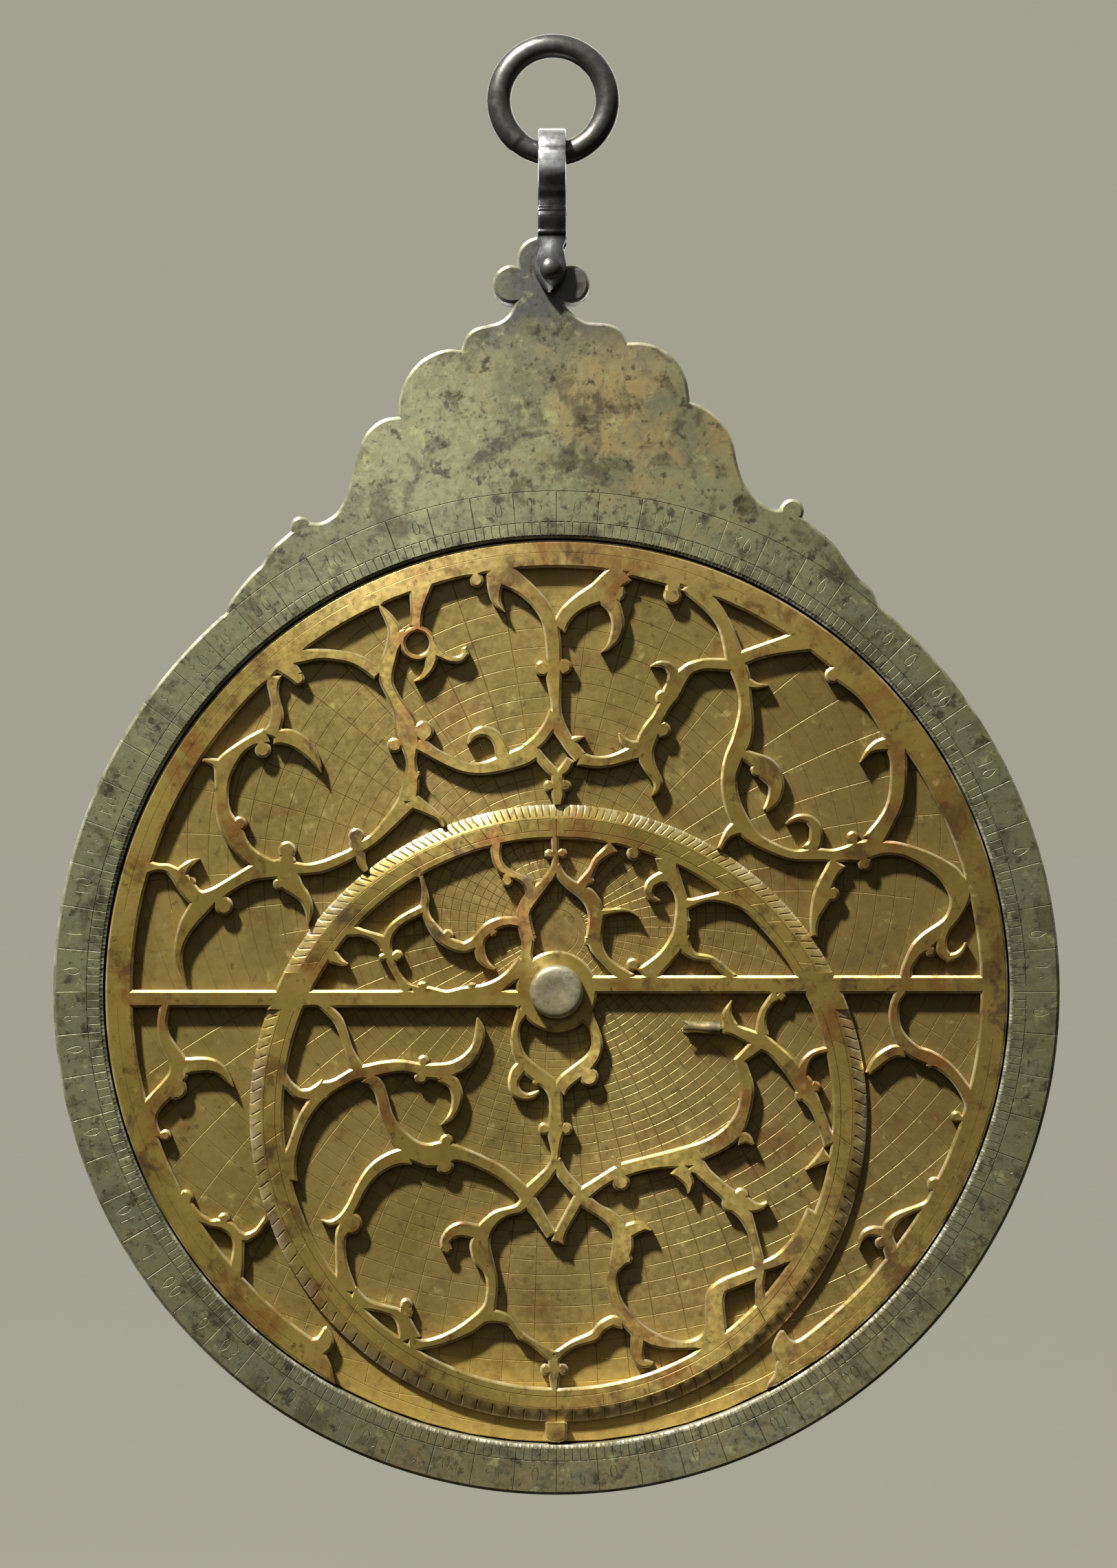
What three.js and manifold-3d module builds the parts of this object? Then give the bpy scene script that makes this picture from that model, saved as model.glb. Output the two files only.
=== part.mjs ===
// Planispheric astrolabe, hanging from its suspension ring.
// Millimetres. +Z is up, the engraved face looks towards -Y, and the origin is the hang point:
// the top of the hole in the suspension ring. Inside the disc group, x and z are measured from
// the centre of the instrument and y = 0 lies in the middle of its thickness.
import * as THREE from "three";
import { mergeVertices } from "three/addons/utils/BufferGeometryUtils.js";
import Module from "manifold-3d";

const wasm = await Module();
wasm.setup();
const { Manifold, Mesh: SolidMesh } = wasm;

// ---------------------------------------------------------------- driving dimensions
const DISC_R = 91.5; // outer radius of the mater
const LIMB_INNER_R = 82.5; // radius of the mater's hollow
const FRONT_Y = -4.0; // face of the limb and throne
const FLOOR_Y = 2.2; // floor of the hollow
const BACK_Y = 4.0; // back of the mater
const RETE_FRONT_Y = -3.4;
const RETE_BACK_Y = -1.6;
const RETE_OUTER_R = 82.1;
const RETE_INNER_R = 77.2;
const RETE_OPEN_HALF = 34.5; // degrees of the rete's ring left open each side of the bottom
const ECLIPTIC = { x: 0.3, z: -22.2, outer: 56.2, inner: 50.0 };
const BEVEL_WIDTH = 2.5; // sloping, divided rim of the ecliptic
const BEVEL_DROP = 1.0;
const HUB_R = 7.4;
const TYMPAN_R = 82.2;
const TYMPAN_T = 0.7;
const TYMPAN_PITCH = 0.736;
const TYMPAN_COUNT = 5;
const TYMPAN_FRONT_Y = -1.48;
const LUG_W = 3.4;
const LUG_R = 84.7;
const PIN_R = 3.1;
const PIN_HEAD_R = 4.9;
const PIN_END_Y = 11.0;
const BORE_R = 3.2; // holes that the centre pin passes through
const ALIDADE_Y = [4.1, 6.1];
const ALIDADE_REACH = 86;
const VANE_X = 66;
const WASHER_Y = [6.2, 6.85];
const SLOT_Y = [6.95, 9.05]; // slot for the wedge, through the tail of the pin
const RING = { x: -0.6, z: 162.6, mid: 9.9, tube: 2.2 };
const SHACKLE = { x: -0.8, width: 5.1, inside: 4.3, thick: 1.8, archZ: 151.3 };
const HINGE = { x: -1.1, z: 131.2, r: 1.2 }; // pin through the shackle and the throne
const HANG = { x: RING.x, z: RING.z + RING.mid - RING.tube };

const BRASS = 0xb08d4a;
const GREY_BRASS = 0x8f8768;
const STEEL = 0x55575c;

// ---------------------------------------------------------------- helpers
const rad = (degrees) => (degrees * Math.PI) / 180;

// Points of an arc in the x-z plane; angles in degrees, anticlockwise from +x.
function arc(x, z, r, from, to, steps) {
  return Array.from({ length: steps + 1 }, (_, i) => {
    const a = rad(from + ((to - from) * i) / steps);
    return [x + r * Math.cos(a), z + r * Math.sin(a)];
  });
}

const circle = (x, z, r, steps = 24) => arc(x, z, r, 0, 360, steps).slice(0, -1);

function box(x0, z0, x1, z1) {
  return [
    [x0, z0],
    [x1, z0],
    [x1, z1],
    [x0, z1],
  ];
}

// Leaves out points that lie close to the line from the last kept point to the next one.
function thin(line, tolerance) {
  const kept = [line[0]];
  for (let i = 1; i < line.length - 1; i++) {
    const [a, b, c] = [kept[kept.length - 1], line[i], line[i + 1]];
    const area = (b[0] - a[0]) * (c[1] - a[1]) - (b[1] - a[1]) * (c[0] - a[0]);
    if (Math.abs(area) > tolerance * Math.hypot(c[0] - a[0], c[1] - a[1])) kept.push(b);
  }
  return [...kept, line[line.length - 1]];
}

// Outline of one stroke of the tracery, from [x, z, width] points along its middle. On the
// inside of a tight bend, points that would run backwards are left out.
function strokeOutline(points) {
  const sides = [[], []];
  points.forEach(([x, z, w], i) => {
    const [x0, z0] = points[Math.max(0, i - 1)];
    const [x1, z1] = points[Math.min(points.length - 1, i + 1)];
    const length = Math.hypot(x1 - x0, z1 - z0);
    const [tx, tz] = [(x1 - x0) / length, (z1 - z0) / length];
    sides.forEach((side, k) => {
      const h = (k ? -w : w) / 2;
      const [px, pz] = [x - tz * h, z + tx * h];
      const last = side[side.length - 1];
      if (!last || (px - last[0]) * tx + (pz - last[1]) * tz > 0.25) side.push([px, pz]);
    });
  });
  return [...thin(sides[1], 0.18), ...thin(sides[0], 0.18).reverse()];
}

// A plate: an outline in x-z, with its holes, from y0 (front) to y1 (back).
function plate(outline, y0, y1, holes = []) {
  const shape = new THREE.Shape(outline.map(([x, z]) => new THREE.Vector2(x, z)));
  shape.holes = holes.map((hole) => new THREE.Path(hole.map(([x, z]) => new THREE.Vector2(x, z))));
  const made = new THREE.ExtrudeGeometry(shape, { depth: y1 - y0, bevelEnabled: false });
  return made.rotateX(Math.PI / 2).translate(0, y1, 0);
}

// A block standing in the y-z plane, extruded along x from x0 to x1.
function sidePlate(outline, x0, x1) {
  const shape = new THREE.Shape(outline.map(([y, z]) => new THREE.Vector2(y, z)));
  const made = new THREE.ExtrudeGeometry(shape, { depth: x1 - x0, bevelEnabled: false });
  made.applyMatrix4(
    new THREE.Matrix4().makeBasis(
      new THREE.Vector3(0, 1, 0),
      new THREE.Vector3(0, 0, 1),
      new THREE.Vector3(1, 0, 0),
    ),
  );
  return made.translate(x0, 0, 0);
}

// A body turned about the y axis through (x, z), from [radius, y] points.
function turned(profile, steps, x = 0, z = 0) {
  const points = profile.map(([r, y]) => new THREE.Vector2(r, y));
  return new THREE.LatheGeometry(points, steps).translate(x, 0, z);
}

function solid(geometry) {
  const bare = geometry.clone();
  bare.deleteAttribute("normal");
  bare.deleteAttribute("uv");
  const merged = mergeVertices(bare, 1e-4);
  const triVerts = new Uint32Array(merged.index.array);
  const vertProperties = merged.attributes.position.array;
  return new Manifold(new SolidMesh({ numProp: 3, vertProperties, triVerts }));
}

function geometryOf(made) {
  const mesh = made.getMesh();
  const geometry = new THREE.BufferGeometry();
  geometry.setAttribute("position", new THREE.BufferAttribute(mesh.vertProperties, 3));
  geometry.setIndex(new THREE.BufferAttribute(mesh.triVerts, 1));
  geometry.computeVertexNormals();
  return geometry;
}

const cut = (geometry, ...tools) =>
  geometryOf(tools.reduce((body, tool) => body.subtract(solid(tool)), solid(geometry)));
const join = (...pieces) =>
  geometryOf(pieces.map(solid).reduce((body, other) => body.add(other)));

function mesh(name, geometry, color) {
  const made = new THREE.Mesh(
    geometry,
    new THREE.MeshStandardMaterial({ color, metalness: 0.9, roughness: 0.45 }),
  );
  made.name = name;
  return made;
}

const drill = (x, z, r, steps = 24) =>
  turned(
    [
      [0, -30],
      [r, -30],
      [r, 30],
      [0, 30],
    ],
    steps,
    x,
    z,
  );

// ---------------------------------------------------------------- mater and throne
// The throne is lobed and a little uneven from side to side, as filed by hand.
const THRONE_LEFT = [
  [-7.4, 125.4], [-8.6, 123.2], [-10.4, 121.8], [-12.6, 121.2], [-15.0, 120.5], [-16.6, 118.9],
  [-17.3, 116.6], [-19.6, 116.8], [-22.2, 116.1], [-24.9, 114.5], [-27.2, 111.6], [-28.5, 108.0],
  [-28.7, 104.6], [-31.6, 104.0], [-34.2, 102.0], [-36.0, 98.5], [-37.0, 94.5], [-38.0, 90.8],
  [-40.1, 87.0], [-42.7, 85.4], [-44.8, 85.3],
];
const THRONE_LEFT_FLANK = [
  [-48.2, 83.7], [-51.3, 81.0], [-52.7, 79.2], [-53.4, 77.8], [-55.3, 76.0], [-57.6, 73.3],
  [-59.6, 70.4],
];
const THRONE_RIGHT = [
  [1.0, 125.4], [2.9, 123.3], [5.3, 121.8], [7.3, 121.6], [9.5, 121.4], [11.6, 120.4],
  [13.0, 118.0], [15.6, 118.0], [18.3, 117.3], [21.2, 115.3], [23.4, 111.9], [24.3, 107.3],
  [26.9, 106.2], [29.8, 103.7], [31.9, 100.4], [33.0, 95.6], [34.5, 91.8], [36.8, 89.2],
  [39.3, 87.8], [41.0, 87.7],
];
const THRONE_RIGHT_FLANK = [
  [44.6, 86.4], [47.6, 83.9], [50.6, 81.2], [52.1, 79.0], [53.6, 76.9], [55.2, 74.9], [57.2, 73.2],
];
const KNOBS = [
  [-46.5, 84.5, 1.9],
  [42.8, 87.4, 2.2],
];
const TREFOIL = [
  [-8.1, 128.6, 3.5],
  [-2.9, 133.0, 4.3],
  [2.6, 128.6, 3.4],
  [-2.9, 129.4, 4.6],
];

// Disc, throne and trefoil as one slab between two depths, bored for the shackle's pin.
function materSlab(y0, y1) {
  const throne = [
    ...THRONE_LEFT,
    ...THRONE_LEFT_FLANK,
    [-61, 66],
    [0, 40],
    [61, 66],
    ...THRONE_RIGHT_FLANK.slice().reverse(),
    ...THRONE_RIGHT.slice().reverse(),
  ];
  const neck = [[-7.6, 123], [1.4, 123], [0.6, 127.5], [-6.9, 127.5]];
  const slab = join(
    plate(circle(0, 0, DISC_R, 90), y0, y1),
    plate(throne, y0, y1),
    plate(neck, y0, y1),
    ...[...KNOBS, ...TREFOIL].map(([x, z, r]) => plate(circle(x, z, r, 16), y0, y1)),
  );
  return cut(slab, drill(HINGE.x, HINGE.z, HINGE.r + 0.05, 16));
}

function materBackPlate() {
  const slab = cut(materSlab(FLOOR_Y, BACK_Y), drill(0, 0, BORE_R));
  return mesh("mater_back_plate", slab, GREY_BRASS);
}

// The limb and the throne are one thick plate; a notch in the limb keys the tympans.
function limbAndThrone() {
  const slab = materSlab(FRONT_Y, FLOOR_Y);
  const notch = new THREE.BoxGeometry(LUG_W + 0.5, 10, 6);
  notch.translate(0, TYMPAN_FRONT_Y - 0.12 + 5, LUG_R + 0.4 - 3);
  return mesh("limb_and_throne", cut(slab, drill(0, 0, LIMB_INNER_R, 90), notch), GREY_BRASS);
}

function tympan(index) {
  const front = TYMPAN_FRONT_Y + TYMPAN_PITCH * index;
  const back = front + TYMPAN_T;
  const round = plate(circle(0, 0, TYMPAN_R, 64), front, back, [circle(0, 0, BORE_R, 24)]);
  const lug = plate(box(-LUG_W / 2, 80, LUG_W / 2, LUG_R), front, back);
  return mesh("tympan_" + (index + 1), join(round, lug), BRASS);
}

// ---------------------------------------------------------------- rete
// Strokes of the openwork, outside the ecliptic, as [x, z, width].
const UPPER_LEFT = [
  [[-49.6, 60.6, 3.2], [-46, 61, 2.6], [-43, 61.3, 2.1], [-40, 61.1, 2.1], [-37, 60.5, 2.2],
    [-34.6, 59.3, 2.4], [-32.4, 57.6, 2.4]],
  [[-51.5, 61.5, 5], [-49, 59, 3.6], [-47.2, 57.2, 2.5]],
  [[-51.5, 57.4, 3], [-51.4, 54.6, 1.8], [-51.1, 52.4, 1.8], [-50.8, 50.2, 2.4], [-51.3, 48, 2.6],
    [-52.2, 46.4, 2.8]],
  [[-51.4, 46.4, 2.8], [-48.6, 46.2, 3.2], [-46.3, 45, 3], [-44.6, 43.2, 2.4], [-43.4, 41.3, 1.2],
    [-42.8, 39.8, 0.2]],
  [[-52.6, 46.7, 2.8], [-55.4, 45.6, 2.2], [-57.4, 44.2, 2.2], [-59.1, 42.6, 3.2], [-60.5, 41, 4],
    [-60.8, 38.6, 3], [-60.9, 35.6, 2.5], [-60.6, 32.6, 2.8], [-59.8, 30.4, 3.4],
    [-58.6, 28.4, 3.9], [-57.4, 26.4, 3.3], [-55.9, 24.8, 3.1], [-54, 23.4, 3.3],
    [-52, 22.4, 3.5]],
  [[-60.6, 40.8, 3], [-62.4, 41.7, 1.6], [-64.4, 42.1, 0.5]],
  [[-24.6, 74.4, 4.6], [-25, 71.6, 3.2], [-25.4, 69.2, 2.4], [-25.6, 66.4, 2.3]],
  [[-32.2, 70.2, 0.6], [-30.9, 68.4, 1.7], [-29.6, 66.2, 2.4], [-29.5, 64, 2.7],
    [-30.1, 61.4, 2.8], [-31, 58.8, 3.2], [-30.9, 56.4, 2.6], [-29.9, 54, 2.3],
    [-28.7, 51.8, 2.7], [-27.8, 49.4, 4], [-27.1, 47, 4.6], [-26.7, 44.4, 3], [-26.4, 41.6, 2],
    [-26.4, 38.8, 3], [-26.7, 36.4, 3.4], [-27.3, 34.4, 3.6]],
  [[-29.2, 64.6, 2.2], [-27.4, 64.9, 2]],
  [[-25.3, 45.2, 2.8], [-22.2, 43.2, 2.3], [-19, 41.6, 2.3], [-16, 40.6, 2.2],
    [-12.6, 40.7, 2.6], [-9.2, 41.9, 3.4], [-6, 42.9, 3.8], [-3.2, 44.2, 3.2]],
  [[-9.6, 42.6, 3.2], [-10.4, 45.2, 2.3], [-11.7, 46.9, 2.1], [-13.6, 47.4, 1.9],
    [-15.2, 46.6, 1.4], [-16.2, 44.9, 0.4]],
  [[-5.4, 43.8, 2.6], [-3, 46, 2.5], [-1.2, 48.4, 2.6], [-0.2, 51, 2.4]],
  [[-23.8, 65.2, 1.6], [-22.7, 63.2, 1.8], [-21.2, 61.4, 1.8], [-19.2, 60.4, 1.3],
    [-17.4, 60.5, 1.3], [-16.5, 61.5, 1.3], [-16.9, 62.6, 1.1]],
  [[-22.6, 62.8, 2], [-22.7, 60.6, 2.3], [-23.3, 58.6, 1.7], [-24.5, 57.1, 1], [-26, 56.4, 0.3]],
  [[-27.3, 34.3, 3.6], [-29.2, 32.2, 2.7], [-31.3, 29.8, 2.3], [-33.3, 27.7, 2.2],
    [-35.4, 26.3, 2.4], [-37.4, 24.9, 2.2], [-39.8, 23.8, 2.2], [-42.6, 22.7, 2.3],
    [-45.4, 22.2, 2.3], [-48, 22.2, 3], [-50.6, 22.3, 3.6], [-53, 22.1, 3.4],
    [-55.4, 21.5, 3.1], [-57.8, 20.3, 2.7], [-60, 18.9, 2.6], [-62.2, 17.6, 2.8],
    [-64.4, 16.4, 4], [-66, 14, 3.5], [-67.3, 11.9, 2.9], [-68.3, 9.5, 2.1], [-68.8, 7.2, 1.7],
    [-68.6, 5, 1.2], [-68, 3, 0.7], [-67.4, 1.4, 0.25]],
  [[-26.8, 35, 3.2], [-25.2, 33.9, 2.6], [-23.6, 33, 1.9], [-22, 32.1, 1.5], [-20.9, 31.1, 1.1],
    [-20.5, 29.9, 0.8]],
  [[-36.2, 26.2, 2.6], [-35.8, 24.4, 1.9], [-35.3, 23.1, 1.5], [-34.6, 21.8, 1]],
  [[-49.4, 22.2, 4.2], [-48.7, 20.2, 4.6], [-47.3, 18.6, 3.1], [-45.8, 17, 2.3],
    [-45.1, 15.1, 1.7], [-45.1, 13.4, 0.9], [-45.2, 12, 0.2]],
  [[-74.4, 22.6, 2.6], [-72.4, 22.6, 1.5], [-70.8, 22.4, 1.8], [-69.4, 21.5, 2.4],
    [-68.2, 20.2, 3.2], [-67.2, 18.8, 3.2], [-65.8, 17.3, 3.2], [-64.4, 16.5, 3.4]],
  [[-68.5, 21.2, 2.6], [-67.3, 22.8, 1.6], [-66.1, 23.7, 0.9], [-64.9, 24.1, 0.2]],
];
const UPPER_RIGHT = [
  [[-11.5, 77.4, 4], [-9, 75.5, 4.2], [-6.8, 74, 3.2], [-4.6, 72.3, 3], [-2.6, 70, 2.9],
    [-1.1, 67, 3], [-0.6, 63.4, 3], [-0.4, 60, 2.8], [-0.4, 57, 3], [-0.3, 54.8, 2.7],
    [-0.1, 52.6, 2], [0, 50.2, 2.2], [0.5, 48, 2.8], [1.8, 45.9, 2.3], [3.1, 44, 2.4],
    [4.4, 42.6, 2.4]],
  [[-11, 75.5, 3.6], [-11.2, 72.8, 2.5], [-10.8, 70.8, 1.6], [-9.3, 69, 0.2]],
  [[0.2, 66, 3], [2, 68.9, 2.9], [4.4, 70.9, 3.2], [7.4, 72.5, 4], [10, 74.6, 4.5],
    [12.5, 76.4, 4]],
  [[9, 72.2, 4], [10.7, 69.3, 2.6], [11.2, 66.6, 2.4], [10.6, 64.3, 2], [9.4, 62.6, 1],
    [8, 61.6, 0.2]],
  [[13, 76.6, 2], [16, 76.2, 2.4], [20, 75.2, 2.8], [23, 74.2, 3]],
  [[21.4, 75.5, 3.6], [21.2, 73.8, 2.7], [21.1, 72.3, 2.8]],
  [[24.5, 74.5, 4.8], [27, 71.4, 3.3], [29.2, 68.9, 2.8], [30.8, 66, 2.7], [31.8, 63, 3],
    [32.6, 60.2, 3.6], [33.7, 57.2, 3.2], [34.2, 54.4, 2.6], [34.5, 51.5, 2.8],
    [34.3, 48.5, 3.4], [33.6, 45.4, 3.8], [32.3, 42.6, 3.5], [31.5, 39.6, 3.1],
    [31.5, 36.6, 3.1], [32.2, 33.6, 3.2], [33.3, 31, 3.4], [34.9, 29, 3], [36.8, 27.4, 2.4],
    [38.9, 26.3, 2.1], [41, 25.4, 2.1], [43.2, 24.8, 2.1], [45.6, 24.8, 2.6],
    [48, 24.8, 2.6], [50.4, 24.7, 2.5], [52.6, 24.9, 2.9], [54.8, 25.3, 3.6],
    [57, 26, 3.6], [59.4, 26.2, 2.8], [62, 26, 2.5], [64.6, 25.3, 2.6], [67.1, 24.2, 2.9],
    [69.6, 22.7, 3.2], [71.6, 21.1, 4], [73, 19, 4.4], [73.4, 16.9, 3.8], [72.7, 14.6, 2.9],
    [71.4, 12.6, 2.5], [69.4, 10.8, 2.8], [67.5, 9.3, 3.2], [65.8, 7.8, 2.8],
    [64.6, 6, 2.2], [63.8, 4.3, 2], [63.5, 2, 2.6]],
  [[33.2, 60.4, 2.8], [36.4, 61.6, 2.6], [40, 62.6, 2.9], [44, 63.6, 4], [46.5, 64, 4]],
  [[51, 58.8, 4], [54, 56.4, 3.4], [56.6, 53.8, 3], [58.6, 51, 3], [60.4, 48, 3.2],
    [61.6, 45.2, 3.8], [62.2, 42.2, 3.2], [62.2, 38.8, 3], [62, 36, 3.1], [61.3, 33.4, 3],
    [60, 31, 3], [58.7, 29, 3.4], [57.6, 27.2, 4]],
  [[60.8, 45.2, 3], [58.4, 44.7, 2.2], [56.7, 43.6, 1.2], [55.2, 41.6, 0.3]],
  [[32.6, 59.4, 2.6], [29.6, 59.5, 2.2], [27, 59.5, 2.3], [24.5, 58.8, 2.4], [22.5, 57, 3.2],
    [21, 54.5, 3.6], [19.7, 52, 2.6], [18.5, 49.8, 2.5], [17.3, 47.6, 3.4], [16.4, 45.4, 3.8],
    [16, 43.4, 3.6], [16.9, 41, 2.5], [17.9, 39.4, 2], [18.5, 37.9, 1.8], [18.2, 36.6, 1.2],
    [17.3, 35.5, 0.3]],
  [[21.4, 56.4, 2.8], [21.2, 58.2, 2.2], [20.2, 59.3, 1.6], [18.6, 59.6, 1.1], [17, 59.1, 0.3]],
  [[15.8, 44.4, 2.6], [13.2, 44.8, 2], [12, 45.8, 1.4], [11.4, 47, 0.3]],
  [[15.4, 44, 3.4], [12.5, 42.8, 2.6], [9.5, 41.9, 2.2], [6.6, 41.8, 2.3], [4, 42.4, 2.6]],
  [[2, 45.2, 2], [3.6, 45.9, 1.3], [5.1, 46.4, 0.2]],
  [[34.4, 56.2, 2.4], [36.4, 55.6, 1.3], [38.6, 55.7, 0.3]],
  [[33.8, 43.3, 2], [36.3, 42, 3], [37.8, 40.8, 4.2], [39.2, 39.2, 4], [40, 37.6, 3],
    [39.8, 35.8, 2.6], [39, 34.2, 2], [37.9, 32.9, 0.8]],
  [[33.2, 30, 3.2], [31.4, 28.8, 2], [30.4, 27.4, 1.4], [29.6, 25.8, 1]],
  [[46, 25.4, 3.2], [47, 27, 2.6], [47.3, 28.6, 2.4], [47, 30.2, 2.1], [45.8, 31.4, 1.7],
    [44, 31.6, 1.3], [42.6, 31, 0.9], [41.7, 30.4, 0.3]],
  [[51.2, 23.6, 3.2], [49.9, 21.4, 2.7], [49, 19.4, 2.8], [48.4, 17.4, 3.6], [47.6, 15.4, 2.9],
    [47, 13.4, 1.9], [46.8, 11.8, 1.5], [46.9, 10, 1.2]],
  [[71, 12.2, 2.4], [70, 9.4, 2.2], [70.2, 7.3, 2.1], [71.5, 6.1, 1.9], [73, 6.6, 1.4],
    [74, 7.7, 0.9], [74.5, 8.9, 0.4]],
  [[-4.4, 44.4, 2], [-2.9, 42.4, 1.9], [-1.2, 40.6, 2], [0.2, 39.4, 2.2], [1.6, 40.6, 2],
    [2.6, 42.3, 1.6]],
  [[0.2, 40, 2.4], [0.2, 37.6, 2.6], [0.3, 35.6, 2.4], [0.3, 33.6, 1.4]],
];
const LOWER_LEFT = [
  [[-70.4, 0, 1.8], [-71.4, -3.4, 1.9], [-71.7, -6, 1.9], [-71.3, -8.4, 2.3], [-70.1, -10.6, 3],
    [-68.9, -12.6, 3.4], [-68.8, -15, 3.6], [-70.2, -17.2, 3.6], [-72.2, -19.2, 3.4],
    [-74, -21.4, 3.6], [-74.6, -24, 4], [-73.8, -27, 4.4]],
  [[-68.4, -13.7, 3.4], [-65.6, -13.4, 2.9], [-63.3, -13.4, 2.8], [-61.5, -14, 2.3],
    [-60.2, -15.3, 1.6], [-59.3, -16.6, 0.8], [-58.8, -17.4, 0.2]],
  [[-67.5, -39, 2.6], [-65.2, -41, 1.8], [-63, -42.2, 1.5], [-61, -42.2, 2.2],
    [-59.2, -43.2, 2.2], [-57.9, -44.8, 2.4], [-57.9, -47, 2.1], [-58.1, -49.6, 2.6],
    [-58.8, -52.4, 3.4]],
  [[-58.4, -44.4, 2.4], [-56.4, -44.8, 1.8], [-54.7, -43.9, 1.4], [-53.5, -42.5, 1.3],
    [-52.4, -41, 1.4]],
];
const LOWER_RIGHT = [
  [[62.9, 0.4, 2.2], [61.7, -2, 1.8], [61.4, -4.5, 2], [61.9, -7, 2.1], [63.2, -9.4, 2.8],
    [65.2, -11, 2.7], [67.6, -12, 3], [70, -13.2, 2.6], [72.1, -15, 2.3], [74, -17.4, 2.4],
    [75.6, -20, 3], [76, -23, 3]],
  [[63.5, -10.8, 2.6], [61.3, -10.9, 2.4], [59.3, -12, 2.3], [57.8, -13.4, 1.9], [56.6, -15, 1]],
  [[68, -38.4, 1.4], [66.2, -39.2, 1.3], [64, -40.1, 1.3], [61.9, -41.2, 1.9],
    [60.5, -42.8, 2.4], [60, -44.6, 2.6], [60.8, -46.8, 3], [61.6, -49.2, 3]],
  [[59.6, -43.9, 2.2], [57.7, -43.6, 1.9], [56.3, -44, 1.5], [55.4, -45.2, 0.9],
    [55.1, -46.7, 0.3]],
];

// Strokes inside the ecliptic, above the bar.
const INSIDE_UPPER = [
  [[-10.9, 28.4, 2.6], [-11, 25.4, 2], [-10.7, 23.6, 1.8], [-9.7, 22.1, 1.8], [-8, 21.3, 1.5],
    [-6.3, 20.6, 1.6], [-4.9, 19.4, 2.3], [-4.4, 18, 2.8]],
  [[-0.3, 28.6, 1.6], [-0.3, 26.2, 1.3], [-0.1, 24.2, 1.3], [-0.4, 22.4, 1.6], [-1.2, 20.8, 2],
    [-2.4, 19.2, 2.4], [-3.9, 17.7, 3], [-5.3, 15.9, 2.8], [-6, 14.2, 2.8], [-5.8, 12.2, 2.8],
    [-5.3, 10.3, 2.8], [-5.3, 8.4, 2.1], [-5.5, 6.4, 2.4], [-5.2, 4, 3.6]],
  [[-0.1, 23, 1.5], [0.9, 21, 1.8], [2.2, 19.7, 2], [3.8, 18.8, 2.5], [5.4, 17.7, 2.9],
    [6.7, 15.9, 3.1], [7.3, 13.9, 3.2], [7, 11.9, 3.1], [6.8, 9.8, 3.1], [7.3, 8, 2.5],
    [8.3, 6.4, 1.9], [9.6, 4.9, 1.9], [11.4, 3.5, 2.6], [13.2, 2, 3]],
  [[-6.4, 12.6, 2.4], [-8.4, 12.8, 2], [-10.4, 12.5, 2.1], [-12.2, 11.6, 2.3],
    [-13.6, 10.2, 2.3], [-15, 8.7, 2.4], [-16.8, 8, 2.1], [-19, 8.6, 2.2], [-21, 9.9, 2.2],
    [-22.5, 11.6, 1.9], [-23.5, 13.3, 1.6], [-24.1, 15, 1.7], [-23.9, 17, 1.6],
    [-24.1, 18.8, 0.9], [-24.7, 21, 0.8]],
  [[-24.3, 15, 1.8], [-26.2, 14, 1.7], [-28.3, 12.8, 1.8], [-30, 11.2, 1.9], [-30.9, 9.4, 2.2],
    [-31, 7.6, 2.2], [-30.4, 5.8, 1.8], [-29.6, 4, 1.5], [-28.3, 2, 1.6], [-26.8, 0.2, 2.6]],
  [[-38, 11.2, 2.6], [-35.4, 10.7, 1.5], [-33.6, 10.2, 1.7], [-31.9, 9.4, 2.2], [-31, 8, 2.2]],
  [[-42.2, 7.8, 3], [-40.6, 6.2, 2.4], [-39, 5.2, 1.3], [-37.9, 5, 0.3]],
  [[-26.4, 0, 2.4], [-23.4, -0.2, 2.4], [-20, -1, 2.4], [-16.6, -0.2, 2.4], [-13.6, 0, 2.6],
    [-11, 0.8, 2.8], [-8.8, 2.2, 2.8], [-7, 3.8, 3], [-5.8, 5.6, 2.6]],
  [[-14, 9.8, 2.4], [-14, 7.6, 2], [-13.6, 6, 1.9], [-12.5, 4.8, 1.2], [-11.2, 4.1, 0.4]],
  [[10.4, 26.4, 2.4], [8.7, 25.1, 1.9], [7.3, 23.8, 1.6], [6.5, 22.2, 1.5], [5.7, 20.8, 2],
    [4.6, 19.2, 2.4]],
  [[7.6, 14.2, 1.8], [9.9, 14.5, 1.1], [12, 14.8, 0.8], [13.6, 14.5, 0.5], [14.9, 13.6, 0.15]],
  [[20.2, 24.4, 4.6], [20.4, 22.2, 3.6], [21.1, 20.4, 3], [22.1, 18.6, 2.2], [22.8, 16.4, 2.4],
    [22.9, 14.2, 2.6], [22.8, 12, 3], [22.4, 10, 3.2], [21.3, 8, 3.2], [19.8, 6.2, 3],
    [17.8, 4.4, 3.4], [16, 2.6, 4]],
  [[20.5, 21, 3], [18.7, 20.6, 2.2], [17.2, 19.6, 2], [16.8, 18, 1.8], [17.5, 16.9, 1.2],
    [18.9, 16.5, 0.3]],
  [[22.8, 9.6, 3], [23.7, 7.6, 2.2], [25.1, 6.4, 1.5], [26.8, 6.1, 1.2], [28.2, 5.9, 1.2],
    [29.2, 4.8, 1.3], [30.6, 3.8, 1.4], [32.2, 2.4, 1.8]],
  [[22.8, 15.8, 2.8], [24.8, 16.2, 1.6], [27, 16.9, 1.4], [29.6, 17.2, 2], [32, 16.8, 2.4],
    [34.4, 15.8, 2.4]],
];

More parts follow.
